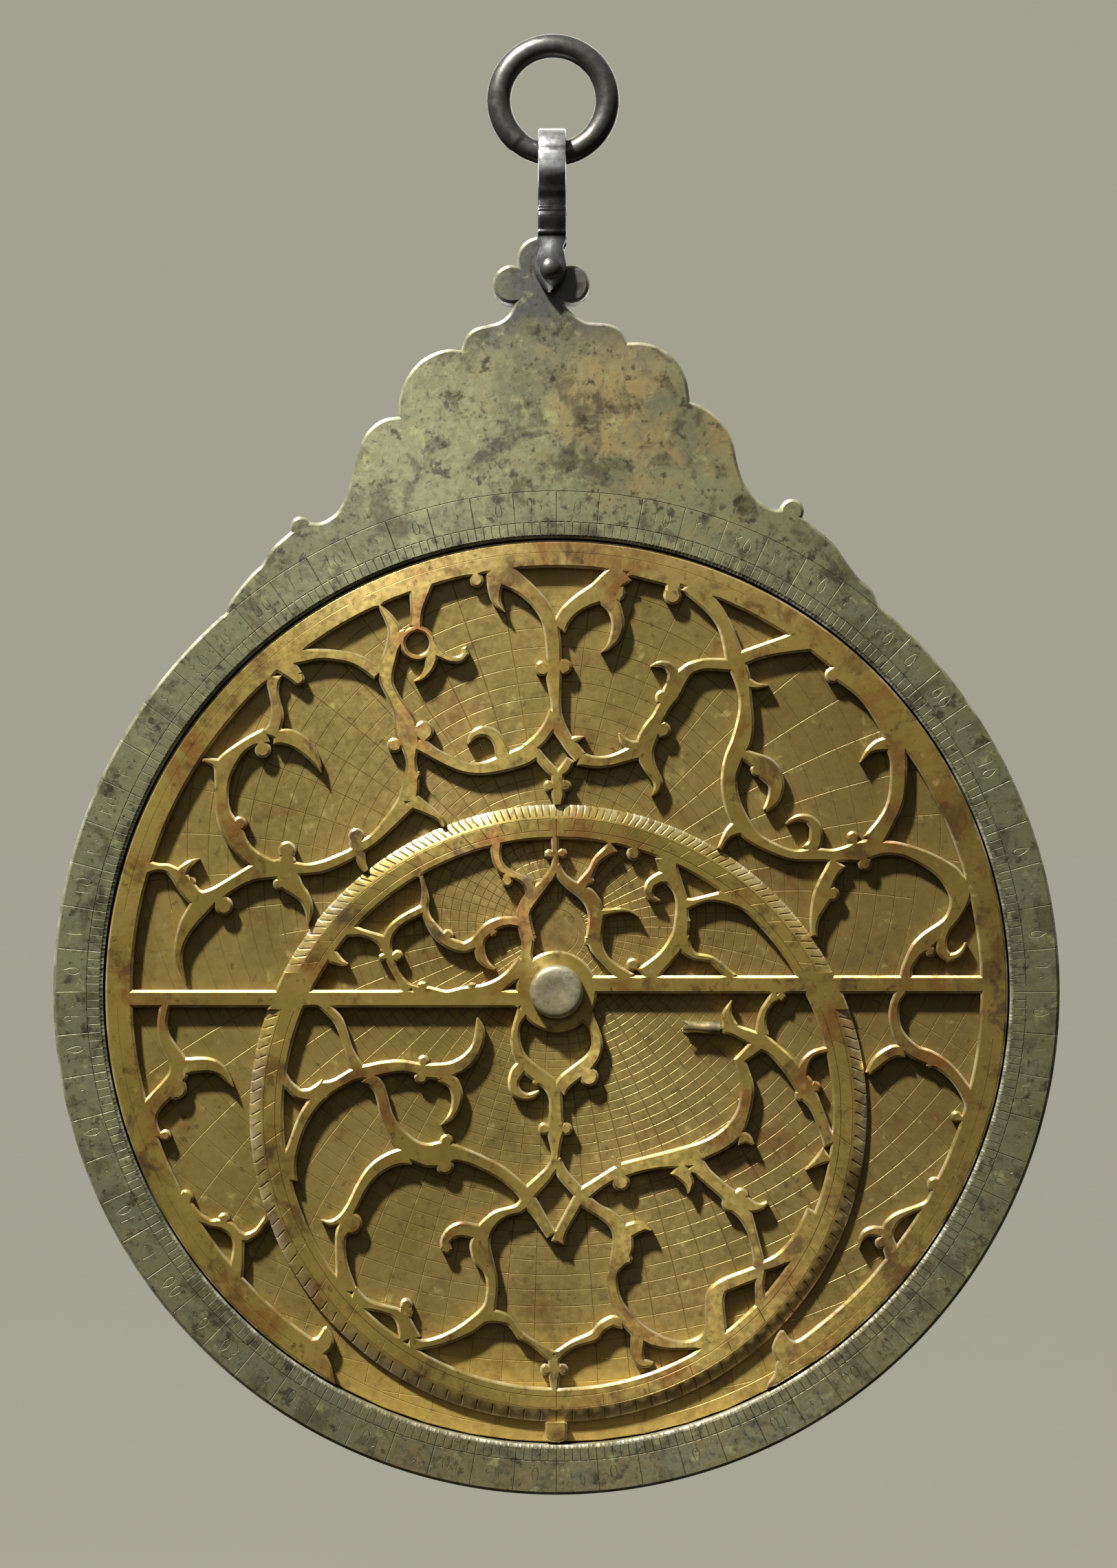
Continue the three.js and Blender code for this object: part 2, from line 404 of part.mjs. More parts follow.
// Strokes inside the ecliptic, below the bar.
const INSIDE_LOWER = [
  [[-44, -1.2, 2], [-41.4, -3.4, 1.9], [-39.7, -5.3, 1.9], [-38.6, -8, 1.7], [-37.9, -10.6, 1.9],
    [-36.9, -13, 2.3], [-35.9, -14.8, 2.8]],
  [[-50.4, -14.6, 2], [-48.8, -17, 1.9], [-47, -18.6, 2], [-44.8, -18.9, 2.6],
    [-42.6, -17.9, 3.2], [-40.4, -17.1, 2.4], [-38.4, -15.9, 2.3], [-36.4, -14.9, 2.6],
    [-33.8, -14.4, 2.6], [-31, -13.8, 2.5], [-28.5, -13.6, 2.4], [-26, -13.9, 2.4],
    [-23.8, -14.5, 2.8], [-21.5, -14.6, 3], [-19.3, -14.2, 2.9], [-17.3, -13.3, 2.7],
    [-15.6, -11.8, 2.4], [-14.4, -9.8, 2.1], [-13.9, -7.8, 1.9], [-14, -6.2, 1.4],
    [-14.4, -4.8, 0.3]],
  [[-42.6, -18.2, 3], [-44.3, -20.3, 2.6], [-45.8, -22.8, 2.3], [-47, -25.4, 2.2],
    [-47.9, -28.2, 2.3], [-48.7, -31, 2.8], [-48.6, -34.6, 3]],
  [[-20.6, -15.2, 3], [-18.7, -16.8, 2.3], [-18.1, -18.6, 2.2], [-18.2, -20.5, 1.9],
    [-18.8, -22.1, 1.5], [-19.9, -23.5, 0.9], [-21.1, -24.4, 0.3]],
  [[-34.4, -15.4, 3], [-32.4, -17.4, 2.4], [-31.7, -19.8, 2.2], [-30.9, -22.6, 2.4],
    [-29.7, -25, 2.7], [-28, -27.2, 3.4], [-26, -29, 4], [-23.5, -29.8, 4.4],
    [-20.8, -29.6, 5], [-18.4, -29.4, 3.2], [-16, -30.2, 2.4], [-13, -31.4, 2.5],
    [-10.2, -32.9, 2.5], [-7.8, -34.7, 2.5], [-5.8, -36.6, 2.8], [-5.2, -38, 3],
    [-3.7, -40, 2.3], [-2.3, -42.3, 2.2], [-0.9, -44.4, 2]],
  [[-26.5, -29.8, 3.6], [-29, -30.2, 3], [-31.5, -31.3, 2.8], [-33.6, -33, 2.6],
    [-35.2, -35.2, 2.3], [-36.4, -37.6, 2.2], [-37.6, -39.9, 2.3], [-39.2, -41.6, 2],
    [-41.2, -42.2, 1.2], [-42.9, -41.6, 0.2]],
  [[-6, -3.4, 2.4], [-7.1, -5.7, 1.6], [-7.5, -8, 1.7], [-7.2, -10.5, 2.1], [-6.3, -12.5, 2.5],
    [-4.8, -14.1, 2.8], [-3, -15.4, 2.8], [-1.4, -16.7, 2.8], [-0.3, -18.4, 2.8],
    [0, -20.6, 2.6], [-0.1, -23, 2.9], [-0.2, -25.4, 3.2], [-0.2, -27.8, 2.2],
    [-0.1, -29.8, 1.8], [-0.6, -31.8, 2], [-1.9, -33.6, 2.3], [-3.6, -35.2, 2.5],
    [-5.3, -37, 2.8]],
  [[-6.2, -13.4, 2.4], [-7.3, -14.8, 2.4], [-7.8, -16.3, 2.1], [-7.6, -17.9, 2],
    [-6.6, -18.9, 1.7], [-5.4, -19.2, 1.4], [-4.2, -18.9, 1.1], [-3.1, -18.1, 0.4]],
  [[5.4, -4.2, 2.6], [6.8, -7, 1.8], [7.4, -9.3, 2.1], [6.9, -11.5, 2.4], [5.4, -13.4, 2.9],
    [3.6, -14.9, 2.9], [1.6, -16.4, 2.9], [0.3, -18.2, 2.8]],
  [[-0.1, -30.6, 1.8], [1.1, -33.2, 2.2], [2.7, -35, 2.4], [4.5, -37, 2.8], [3.2, -39.6, 2.3],
    [1.9, -41.8, 2.3], [0.8, -43.8, 2.2], [0.2, -45.8, 2.4]],
  [[4.2, -37.4, 2.8], [6.2, -36.1, 2.4], [8, -34.8, 2.2], [10, -33.6, 2.2], [12, -32.6, 3],
    [14.4, -31.8, 2.8], [17.6, -31, 3], [21, -30.5, 3.4], [24, -30, 3.8], [26.6, -29, 3.6],
    [29, -27.8, 3.4], [31.4, -26.2, 3.5], [33, -24.3, 3.2], [34, -22, 2.6],
    [34.6, -19.5, 2.5], [34.7, -17, 2.4], [34.1, -14.6, 2.3], [33.4, -12.6, 2.4],
    [34.8, -11.4, 2.2], [36.6, -9.7, 2.8]],
  [[49.4, -29.6, 3], [47.6, -30.9, 2], [46.4, -31.8, 1.2], [45.3, -32.5, 0.3]],
  [[40.2, -0.4, 2.2], [38.8, -1.9, 1.7], [37.8, -3.6, 1.6], [37.3, -5.6, 1.8],
    [37.4, -8, 2.6]],
  [[30.2, -6.6, 1.9], [32, -6.9, 2.2], [33.8, -7.6, 2.6], [35.6, -8.4, 3], [37.6, -9.3, 3.2],
    [39.6, -10.6, 2.8], [41.6, -12.7, 3], [43.5, -15, 3.2], [45, -17, 3.6],
    [45.8, -18.8, 3.4], [46.9, -20.6, 2.3], [48, -22.8, 2.2], [48.9, -25.3, 2.2],
    [49.8, -28, 2.4]],
  [[31.6, -6.4, 3], [31, -4, 1.8], [31.5, -2.5, 0.9], [31.9, -1.6, 0.2]],
  [[33.2, -26.6, 2.8], [34.8, -26.8, 1.8], [35.9, -27.9, 0.5]],
  [[11.7, -32.2, 2.2], [10.9, -30.9, 1.1], [10.2, -30.1, 0.3]],
  [[25.2, -31.2, 3.4], [27, -33.2, 2.6], [29, -35, 2.6], [31, -36.8, 2.8], [32.6, -38.4, 4],
    [34.4, -40.8, 2.7], [35.5, -43.4, 2], [36.2, -46, 1.8], [36.7, -48.5, 2], [37, -50.6, 2.6],
    [37, -52.6, 1.8], [37, -54.8, 2], [37.4, -57, 2.6]],
  [[21.8, -32, 3.2], [23.5, -33.6, 2.8], [24.2, -35.2, 1.7], [24, -36.8, 0.3]],
  [[34.2, -38.7, 3.2], [36.2, -39.3, 1.9], [37.4, -39.1, 1.2], [38.4, -38.4, 0.6]],
  [[44.6, -14.8, 2.6], [45.4, -12.8, 1.8], [46.7, -11.4, 1.4], [49.2, -10.6, 1.4]],
  [[-44.8, -18.6, 2], [-43, -17, 1.6], [-42.2, -16.6, 1.6]],
  [[-37.7, -41.4, 3.6], [-39.2, -44.4, 2.2], [-39.3, -47, 2.1], [-39.1, -49.6, 2.3],
    [-38.7, -52.2, 3], [-38.4, -54.8, 4.4]],
  [[-37.4, -55.4, 4], [-34.4, -57, 2], [-31.6, -57.6, 1.9], [-29.4, -58.4, 2],
    [-28, -59.6, 2.8], [-27.2, -61.4, 3.4], [-26.6, -63.4, 4]],
  [[-27, -64.2, 3], [-24, -64.2, 1.8], [-21, -63.5, 1.9], [-18.3, -62.4, 2.2],
    [-15.8, -61, 2.6], [-13.6, -59.3, 3], [-12.2, -57.6, 2.6], [-11.8, -55.4, 2.2],
    [-11.7, -53, 2.2], [-12.2, -50.7, 2.4], [-13.4, -48.4, 3.8], [-13.9, -46, 3.8],
    [-13.4, -43.8, 3.4], [-12.2, -42.2, 2.7], [-10.6, -40.8, 2.3], [-8.8, -40, 2],
    [-7, -39.6, 2], [-5.6, -38.4, 2.4]],
  [[-12.4, -59, 2.8], [-10.4, -59.3, 2.4], [-8.7, -59.9, 1.9], [-7.4, -61.2, 1.7],
    [-6.4, -62.7, 1.7], [-4.8, -63.6, 1.4], [-2.8, -64.9, 1.6], [-0.7, -66.4, 2.2]],
  [[-13.4, -43.9, 3], [-15.5, -43.5, 2.8], [-17.5, -43.3, 2.8], [-19.2, -44, 2.4],
    [-20.2, -45.4, 2], [-20.1, -46.8, 2]],
  [[4.8, -37.9, 2.6], [7.4, -39.8, 2.4], [9.4, -40.9, 2.6], [11, -42.4, 3], [12.1, -44.3, 3.9],
    [12.1, -46.6, 3.9], [11.5, -48.8, 3.6], [10.4, -50.9, 2.2], [10.2, -53.2, 2.1],
    [10.6, -55.6, 2.2], [11.6, -57.8, 2.4], [13, -59.8, 2.8], [15, -61.9, 3.1],
    [17.6, -63.3, 2.7], [20.6, -64.2, 2], [23.5, -64.4, 1.7], [26, -64, 2.4], [28, -63, 4]],
  [[12.4, -43.8, 3], [14.8, -42.9, 2.3], [16.3, -42.9, 1.5], [17.3, -43.5, 0.4]],
  [[12.2, -60.2, 2.6], [10.1, -60, 2.1], [8.3, -61, 2], [7, -62.6, 2.1], [5.2, -63.4, 1.7],
    [3.2, -64.1, 1.6], [1.5, -65.2, 1.6], [0, -66.4, 2]],
  [[15, -61.8, 2.8], [14.7, -64.4, 2.6], [14.8, -66.3, 2.3], [15.5, -67.6, 1.9],
    [16.6, -67.8, 1.3], [17.7, -67.6, 0.4]],
  [[29, -64, 4.4], [28.9, -60.6, 3.9], [28.8, -57.6, 3.6], [29, -55.2, 3.4],
    [30.2, -53.7, 2.6], [32.2, -52.9, 2.4], [34.2, -52.1, 2.5], [36.4, -51.2, 2.6]],
  [[37.2, -50.2, 2], [39.5, -49.4, 2.3], [42, -48, 3], [44.5, -45, 3], [47, -40, 3]],
  [[-0.5, -66.6, 2], [-0.4, -69, 2.4], [-0.4, -71, 1.8], [-0.3, -73.4, 1.1]],
];

// Round knobs and small lobes on the tracery, as [x, z, radius].
const BEADS = [
  [-47, 56.9, 1.25], [-53.4, 44, 1.5], [-24.2, 47.4, 1.9], [-29.5, 44.8, 1.4], [-25.4, 39.4, 0.8],
  [-2.6, 58.8, 1.45], [1.5, 59.1, 1.4], [-14.5, 74.8, 1.3], [11, 72.6, 1.6], [21.1, 72.1, 1.7],
  [50.3, 57.6, 1.5], [19.4, 53.4, 1.5], [19.3, 47.6, 1.5], [-57.6, 30.5, 1.4],
  [-49, 25.7, 1.65], [-49, 23.8, 1.6], [-50.4, 19.6, 1.2], [-60.5, 15.6, 1.7],
  [-66.4, 20, 0.9], [-36.4, 28.2, 1.55], [-36.4, 26.8, 1.4], [-8.9, 20, 1.05], [-8.9, 21, 0.9],
  [-1.3, 25, 0.95], [1.1, 25.1, 0.95], [-28.9, 6.5, 1.1], [-31.6, 6.2, 0.8], [-4.6, 9.8, 0.95],
  [-19.8, 10.3, 1.1], [-11.7, 10.9, 1], [-24.4, 0.8, 1.1], [-15.3, 0.7, 1], [6, 20.2, 0.9],
  [6.1, 9.4, 1.1], [13.9, 4.9, 1.2], [14, 25.1, 1.3], [23.6, 12.9, 0.8], [36.7, 40.4, 1.45],
  [-1.3, 37.4, 1.1], [1.7, 37.4, 1.1], [54, 28, 1.25], [56.1, 23.2, 1.3], [50.2, 17.7, 1.35],
  [68.1, 7.2, 1], [-69.3, -17.6, 2.1], [-71.2, -26.2, 1.1], [-67.5, -37.6, 1.5],
  [-60.5, -41.4, 1.15], [-24.15, -12.6, 1.05], [-24.6, -15.6, 1.3], [-20, -27.2, 1.3],
  [-20.3, -31.6, 1.7], [-2.2, -25, 1.2], [1.8, -25, 1.15], [-3.6, -16.4, 0.8],
  [5.9, -15.5, 1.75], [11.7, -34.6, 1.65], [31.6, -38.6, 1.6], [33.6, -37, 1.3],
  [40.9, -0.9, 0.9], [47.1, -17.4, 1.1], [44.4, -18.9, 1.1], [68, -13.2, 0.8],
  [72.8, -22.8, 1.1], [68.9, -35.2, 1.5], [59.1, -45.7, 1.2], [-37.4, -42.2, 2.1],
  [-27.3, -57, 1.2], [-27.4, -58.4, 1.3], [-20, -46.8, 1.05], [12.7, -48.6, 1.2],
  [-1.9, -68.8, 1.1], [1.1, -68.8, 1.1], [-0.4, -67, 1.1],
];

// Lobed ends of the rete's outer ring, left and right of the opening.
const RING_ENDS = [
  [
    [-47.2, -61.1], [-45.6, -62.3], [-44.4, -63.1], [-43.6, -62.9], [-42.9, -61.9], [-42.4, -61.1],
    [-41.8, -61], [-41.3, -61.6], [-40.7, -62.8], [-40.5, -64], [-41, -65.1], [-42, -66],
    [-41.4, -67.1], [-40.8, -68.5], [-40.6, -70], [-40.2, -71.5], [-43.5, -69.6], [-46.8, -67.4],
  ],
  [
    [50, -58.8], [46, -62], [44.2, -63.3], [43.2, -63.6], [42.4, -63.2], [41.8, -62.3],
    [41.4, -61.7], [40.7, -61.7], [40.2, -62.4], [39.6, -63.6], [39.2, -65], [39.5, -66.2],
    [40.2, -67.2], [39.9, -67.9], [39.8, -69.2], [39.3, -70.2], [38.6, -71.1], [38.2, -72.2],
    [39.6, -71.8], [43, -69.8], [46.5, -67.6],
  ],
];
const SOCKET = { x: -25.3, z: 63.4, hole: 2.15, rim: 3.2 }; // for the turning knob, now lost
const STUB = { x: 30.1, y: -2.75, z: -6.55 }; // where a mended star pointer joins the rete

// The outer ring of the rete, open at the bottom; its corners fall on every third degree.
function ringSector(r0, r1) {
  const end = RETE_OPEN_HALF;
  return [
    ...arc(0, 0, r1, end - 90, -54, 1),
    ...arc(0, 0, r1, -51, 231, 94),
    ...arc(0, 0, r1, 234, 270 - end, 1),
    ...arc(0, 0, r0, 270 - end, end - 90, 64),
  ];
}

// The whole openwork plate, cut from one sheet.
function reteSheet() {
  const strokes = [
    ...UPPER_LEFT,
    ...UPPER_RIGHT,
    ...LOWER_LEFT,
    ...LOWER_RIGHT,
    ...INSIDE_UPPER,
    ...INSIDE_LOWER,
  ].map(strokeOutline);
  const { x, z, outer, inner } = ECLIPTIC;
  const outlines = [
    ringSector(RETE_INNER_R, RETE_OUTER_R),
    box(-78, -2.9, 0, 0.25),
    box(0, -0.35, 78, 2.9),
    circle(0, 0, HUB_R, 32),
    circle(SOCKET.x, SOCKET.z, SOCKET.rim, 18),
    [[-2.05, -76], [-2.05, -81.3], [-1.2, -81.9], [1.1, -81.9], [1.95, -81.3], [1.95, -76]],
    ...RING_ENDS,
    ...strokes,
    ...BEADS.map(([bx, bz, r]) => circle(bx, bz, r, r > 1.25 ? 10 : 7)),
  ];
  const pieces = outlines.map((outline) => plate(outline, RETE_FRONT_Y, RETE_BACK_Y));
  const band = plate(circle(x, z, outer, 80), RETE_FRONT_Y, RETE_BACK_Y, [circle(x, z, inner, 64)]);
  const sheet = join(band, ...pieces);
  const round = solid(drill(0, 0, RETE_OUTER_R, 120));
  const trimmed = geometryOf(solid(sheet).intersect(round));
  return cut(trimmed, drill(0, 0, BORE_R), drill(SOCKET.x, SOCKET.z, SOCKET.hole, 14));
}

// Sloping rim: a ring of triangular section taken off the front edge of the ecliptic.
function eclipticBevel() {
  const { x, z, outer } = ECLIPTIC;
  const over = 0.4;
  const inner = outer - BEVEL_WIDTH;
  const slope = BEVEL_DROP / BEVEL_WIDTH;
  const rim = outer + 0.02;
  const wedge = turned(
    [
      [inner - over / slope, RETE_FRONT_Y - over],
      [rim, RETE_FRONT_Y - over],
      [rim, RETE_FRONT_Y + BEVEL_DROP],
      [inner - over / slope, RETE_FRONT_Y - over],
    ],
    80,
    x,
    z,
  );
  const bar = new THREE.BoxGeometry(170, 10, 6.6).translate(0, -3, 0.1);
  return cut(wedge, bar);
}

function rete() {
  const bevelled = cut(reteSheet(), eclipticBevel());
  const tenon = new THREE.BoxGeometry(3.2, 0.9, 0.9).translate(STUB.x - 0.4, STUB.y, STUB.z);
  return mesh("rete", join(bevelled, tenon), BRASS);
}

// Old repair of a broken star pointer: a strip rolled round its stub, open along the back.
function starPointerSleeve() {
  const length = 7.2;
  const outline = [
    ...arc(STUB.y, STUB.z, 1.12, 20, 340, 18),
    ...arc(STUB.y, STUB.z, 0.78, 340, 20, 18),
  ];
  const made = sidePlate(outline, STUB.x - 0.35 - length, STUB.x - 0.35);
  return mesh("star_pointer_sleeve", made, STEEL);
}

// ---------------------------------------------------------------- centre pin and back
function centrePin() {
  const front = RETE_FRONT_Y - 0.05;
  const body = turned(
    [
      [0, front - 2.25],
      [2.4, front - 2.12],
      [4.1, front - 1.8],
      [PIN_HEAD_R, front - 1.3],
      [PIN_HEAD_R, front],
      [PIN_R, front],
      [PIN_R, PIN_END_Y - 0.8],
      [PIN_R - 0.8, PIN_END_Y],
      [0, PIN_END_Y],
    ],
    24,
  );
  const slot = new THREE.BoxGeometry(20, SLOT_Y[1] - SLOT_Y[0], 2.3);
  slot.translate(0, (SLOT_Y[0] + SLOT_Y[1]) / 2, 0);
  return mesh("centre_pin", cut(body, slot), STEEL);
}

// Sighting rule on the back, with lobed waist and pointed ends.
function alidade() {
  const half = [
    [8, 5.2], [11, 3.6], [14, 5.6], [18, 6.0], [60, 6.0], [63, 6.4], [69, 6.4], [72, 5.6],
    [76, 4.6], [80, 2.6], [ALIDADE_REACH, 0.4],
  ];
  const side = (sx, sz) => half.map(([x, z]) => [sx * x, sz * z]);
  const outline = [
    ...side(1, -1),
    ...side(1, 1).reverse(),
    ...side(-1, 1),
    ...side(-1, -1).reverse(),
  ];
  const slots = [-1, 1].map((s) => box(s * VANE_X - 0.65, -3.5, s * VANE_X + 0.65, 3.5));
  const [y0, y1] = ALIDADE_Y;
  const rule = join(plate(outline, y0, y1), plate(circle(0, 0, 9.5, 30), y0, y1));
  const tools = slots.map((slot) => plate(slot, y0 - 1, y1 + 1));
  return mesh("alidade", cut(rule, drill(0, 0, BORE_R), ...tools), BRASS);
}

// Sighting vane: an upright plate with two peep holes and a tenon through the alidade.
function vane(name, x) {
  const [y0, y1] = ALIDADE_Y;
  const foot = y1 + 0.05;
  const outline = [
    [y0, -3.45], [foot, -3.45], [foot, -5.8], [13.4, -5.8], [15.6, -4.6], [16.6, -2.4],
    [16.9, -0.7], [16.0, 0], [16.9, 0.7], [16.6, 2.4], [15.6, 4.6], [13.4, 5.8], [foot, 5.8],
    [foot, 3.45], [y0, 3.45],
  ];
  const body = sidePlate(outline, x - 0.6, x + 0.6);
  const peep = (y, r) =>
    new THREE.CylinderGeometry(r, r, 6, 14).rotateZ(Math.PI / 2).translate(x, y, 0);
  return mesh(name, cut(body, peep(9.4, 0.5), peep(12.8, 0.9)), BRASS);
}

function washer() {
  const hole = circle(0, 0, BORE_R, 24);
  const made = plate(circle(0, 0, 7, 24), WASHER_Y[0], WASHER_Y[1], [hole]);
  return mesh("alidade_washer", made, BRASS);
}

// The wedge that locks the stack, with the horse's head that gives it its name.
function horse() {
  const y = SLOT_Y[0];
  const outline = [
    [-10, y], [17.5, y], [19.4, y + 1], [20.2, y + 2.6], [20.6, y + 4.4], [22.4, y + 4.2],
    [24.0, y + 4.6], [24.6, y + 5.6], [23.6, y + 6.6], [21.4, y + 7.4], [20.2, y + 8.6],
    [19.6, y + 7.6], [17.6, y + 6.6], [16.0, y + 4.8], [14.6, y + 3.0], [12.6, y + 2.36],
    [-9.2, y + 1.46],
  ];
  const shape = new THREE.Shape(outline.map(([x, h]) => new THREE.Vector2(x, h)));
  const made = new THREE.ExtrudeGeometry(shape, { depth: 2, bevelEnabled: false });
  return mesh("horse_wedge", made.translate(0, 0, -1), BRASS);
}

// ---------------------------------------------------------------- suspension
// Where the shackle's legs are drawn in below the ring, as [z, how far].
const WAIST = [[140.8, 0], [141.6, 0.4], [142.6, 1.1], [144.2, 1.4], [146.4, 1.1], [148.8, 0.4]];

// Strap bent over the ring and straddling the throne; each end is a leaf.
function shackle() {
  const { x, width, inside, thick, archZ } = SHACKLE;
  const outer = inside + thick;
  const low = 133;
  const x0 = x - width / 2;
  const x1 = x + width / 2;
  const drawn = (side, face) => WAIST.map(([z, by]) => [side * (face - by), z]);
  const strap = sidePlate(
    [
      [-outer, low], [-inside, low],
      ...drawn(-1, inside),
      ...arc(0, archZ, inside, 180, 0, 14),
      ...drawn(1, inside).reverse(),
      [inside, low], [outer, low],
      ...drawn(1, outer),
      ...arc(0, archZ, outer, 0, 180, 18),
      ...drawn(-1, outer).reverse(),
    ],
    x0,
    x1,
  );
  const leaf = [
    [x0, 138], [x0 - 0.1, 135.6], [x0 - 0.4, 133.4], [x0 - 0.6, 131.6], [x0 - 0.45, 129.8],
    [x0 + 0.6, 128.2], [HINGE.x - 0.2, 126.9], [x1 - 1.5, 127.9], [x1 - 0.3, 129.8],
    [x1 + 0.1, 131.8], [x1 - 0.1, 135], [x1, 138],
  ];
  const ridge = (z, h) => box(x0 - 0.12, z - h / 2, x1 + 0.12, z + h / 2);
  const collars = (z, h, by) => [
    plate(ridge(z, h), by - outer - 0.3, by - inside - 0.4),
    plate(ridge(z, h), inside + 0.4 - by, outer + 0.3 - by),
  ];
  const body = join(
    strap,
    plate(leaf, -outer, -inside),
    plate(leaf, inside, outer),
    ...collars(137.8, 0.9, 0),
    ...collars(142.2, 0.8, 0.8),
  );
  return mesh("shackle", cut(body, drill(HINGE.x, HINGE.z, HINGE.r + 0.05, 16)), STEEL);
}

function shacklePin() {
  const face = SHACKLE.inside + SHACKLE.thick + 0.05;
  const profile = [
    [0, -face - 1.5],
    [0.9, -face - 1.3],
    [1.6, -face - 0.8],
    [1.95, -face],
    [HINGE.r, -face],
    [HINGE.r, face + 0.9],
    [0, face + 1.1],
  ];
  return mesh("shackle_pin", turned(profile, 16, HINGE.x, HINGE.z), STEEL);
}

// Burr over which the pin's back end is hammered.
function shacklePinBurr() {
  const face = SHACKLE.inside + SHACKLE.thick + 0.05;
  const hole = circle(HINGE.x, HINGE.z, HINGE.r + 0.05, 16);
  const made = plate(circle(HINGE.x, HINGE.z, 2.1, 16), face, face + 0.6, [hole]);
  return mesh("shackle_pin_burr", made, STEEL);
}

function suspensionRing() {
  const made = new THREE.TorusGeometry(RING.mid, RING.tube, 12, 40);
  made.rotateX(Math.PI / 2).translate(RING.x, 0, RING.z);
  return mesh("suspension_ring", made, STEEL);
}

// ---------------------------------------------------------------- assembly
const discGroup = new THREE.Group();
discGroup.position.set(-HANG.x, 0, -HANG.z);
discGroup.add(materBackPlate(), limbAndThrone());
for (let i = 0; i < TYMPAN_COUNT; i++) discGroup.add(tympan(i));
discGroup.add(
  rete(),
  starPointerSleeve(),
  centrePin(),
  alidade(),
  vane("vane_left", -VANE_X),
  vane("vane_right", VANE_X),
  washer(),
  horse(),
  shackle(),
  shacklePin(),
  shacklePinBurr(),
  suspensionRing(),
);

const group = new THREE.Group();
group.add(discGroup);
export default group;
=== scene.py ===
"""Looks of the astrolabe. Shapes are worked out in millimetres in the disc's own frame: x to the
right and z up from the centre of the instrument, y from the engraved face to the back."""
import math

import bpy
import numpy as np
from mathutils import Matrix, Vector
from mathutils.geometry import delaunay_2d_cdt


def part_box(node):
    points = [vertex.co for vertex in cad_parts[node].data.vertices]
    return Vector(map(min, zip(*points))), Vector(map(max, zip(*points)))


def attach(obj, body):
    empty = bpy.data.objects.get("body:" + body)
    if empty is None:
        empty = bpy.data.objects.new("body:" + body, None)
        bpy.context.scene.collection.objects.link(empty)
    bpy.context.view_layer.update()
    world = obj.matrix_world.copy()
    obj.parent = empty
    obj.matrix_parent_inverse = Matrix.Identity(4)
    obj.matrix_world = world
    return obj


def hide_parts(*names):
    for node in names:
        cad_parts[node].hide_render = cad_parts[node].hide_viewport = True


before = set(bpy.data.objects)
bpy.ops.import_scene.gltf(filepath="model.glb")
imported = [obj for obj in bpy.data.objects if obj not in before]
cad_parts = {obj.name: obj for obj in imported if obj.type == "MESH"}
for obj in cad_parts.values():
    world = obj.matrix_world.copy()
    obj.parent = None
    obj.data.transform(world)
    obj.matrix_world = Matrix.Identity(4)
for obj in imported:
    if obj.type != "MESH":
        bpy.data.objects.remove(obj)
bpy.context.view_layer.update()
scene = bpy.context.scene

RAD = math.radians
CENTRE = np.array([0.6, 0.0, -170.3])  # the disc's centre in the row frame

# depths of the plates
LIMB_FRONT, LIMB_SEAM, FLOOR, BACK = -4.0, -1.6, 2.2, 4.0
RETE_FRONT, RETE_BACK = -3.4, -1.6
TYMPAN_FRONT, TYMPAN_BACK = -1.48, -0.78

# the degree scales on the limb and on the back: three circles each
SCALE_IN, SCALE_MID, SCALE_OUT = 83.05, 85.4, 91.0
BACK_IN, BACK_MID, BACK_OUT = 83.4, 86.0, 90.6

# the back's other scales
SQUARE_IN, SQUARE_OUT = 58, 62  # the shadow square's double line
GRID_R = 81  # the sine quadrant stops here

# the tympan's and the rete's sky
OBLIQUITY = 23.5
R_EQUATOR = 51.3
TYMPAN_R = 79.6  # the net stops here, just inside the plate's border circle
TYMPAN_TURN = 1.4  # degrees that the plate is turned in its seat
ECLIPTIC = (0.3, -22.2)  # centre of the ecliptic's ring
ECLIPTIC_IN, ECLIPTIC_OUT, CREASE_R = 50.0, 56.2, 53.7
BAR_Z, BAR_HALF = 0.1, 3.35

# the centre pin's slot for the wedge: half height, front and back
SLOT_HALF, SLOT_FRONT, SLOT_BACK = 1.19, 6.91, 9.09

# the suspension
RING_X, RING_Z, RING_R, RING_TUBE = -0.6, 162.6, 9.9, 2.2
RIVET_X, RIVET_Z = -1.1, 131.2
ARCH_Z, ARCH_R, STRAP_HALF = 151.3, 5.2, 0.9
SCARF_STEP = 0.07  # share of the tube lost at the ring's joint

BUMP_DEPTH = 0.00012  # metres


# ------------------------------------------------------------------ meshes
def new_object(name, verts, faces, material, attributes=None, smooth=None):
    """A piece from vertices in disc millimetres; attributes are per vertex."""
    mesh = bpy.data.meshes.new(name)
    points = (np.asarray(verts, float) + CENTRE) / 1000.0
    mesh.from_pydata(points.tolist(), [], faces)
    mesh.update()
    for key, values in (attributes or {}).items():
        mesh.attributes.new(key, "FLOAT", "POINT").data.foreach_set("value", np.asarray(values, float))
    if smooth is not None:
        mesh.shade_smooth()
        mesh.set_sharp_from_angle(angle=RAD(smooth))
    mesh.materials.append(material)
    obj = bpy.data.objects.new(name, mesh)
    scene.collection.objects.link(obj)
    return obj


def place(obj, body, slot, *nodes):
    """Puts a piece on its body, in place of the CAD nodes named; slot is not used."""
    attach(obj, body)
    if nodes:
        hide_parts(*nodes)
    return obj


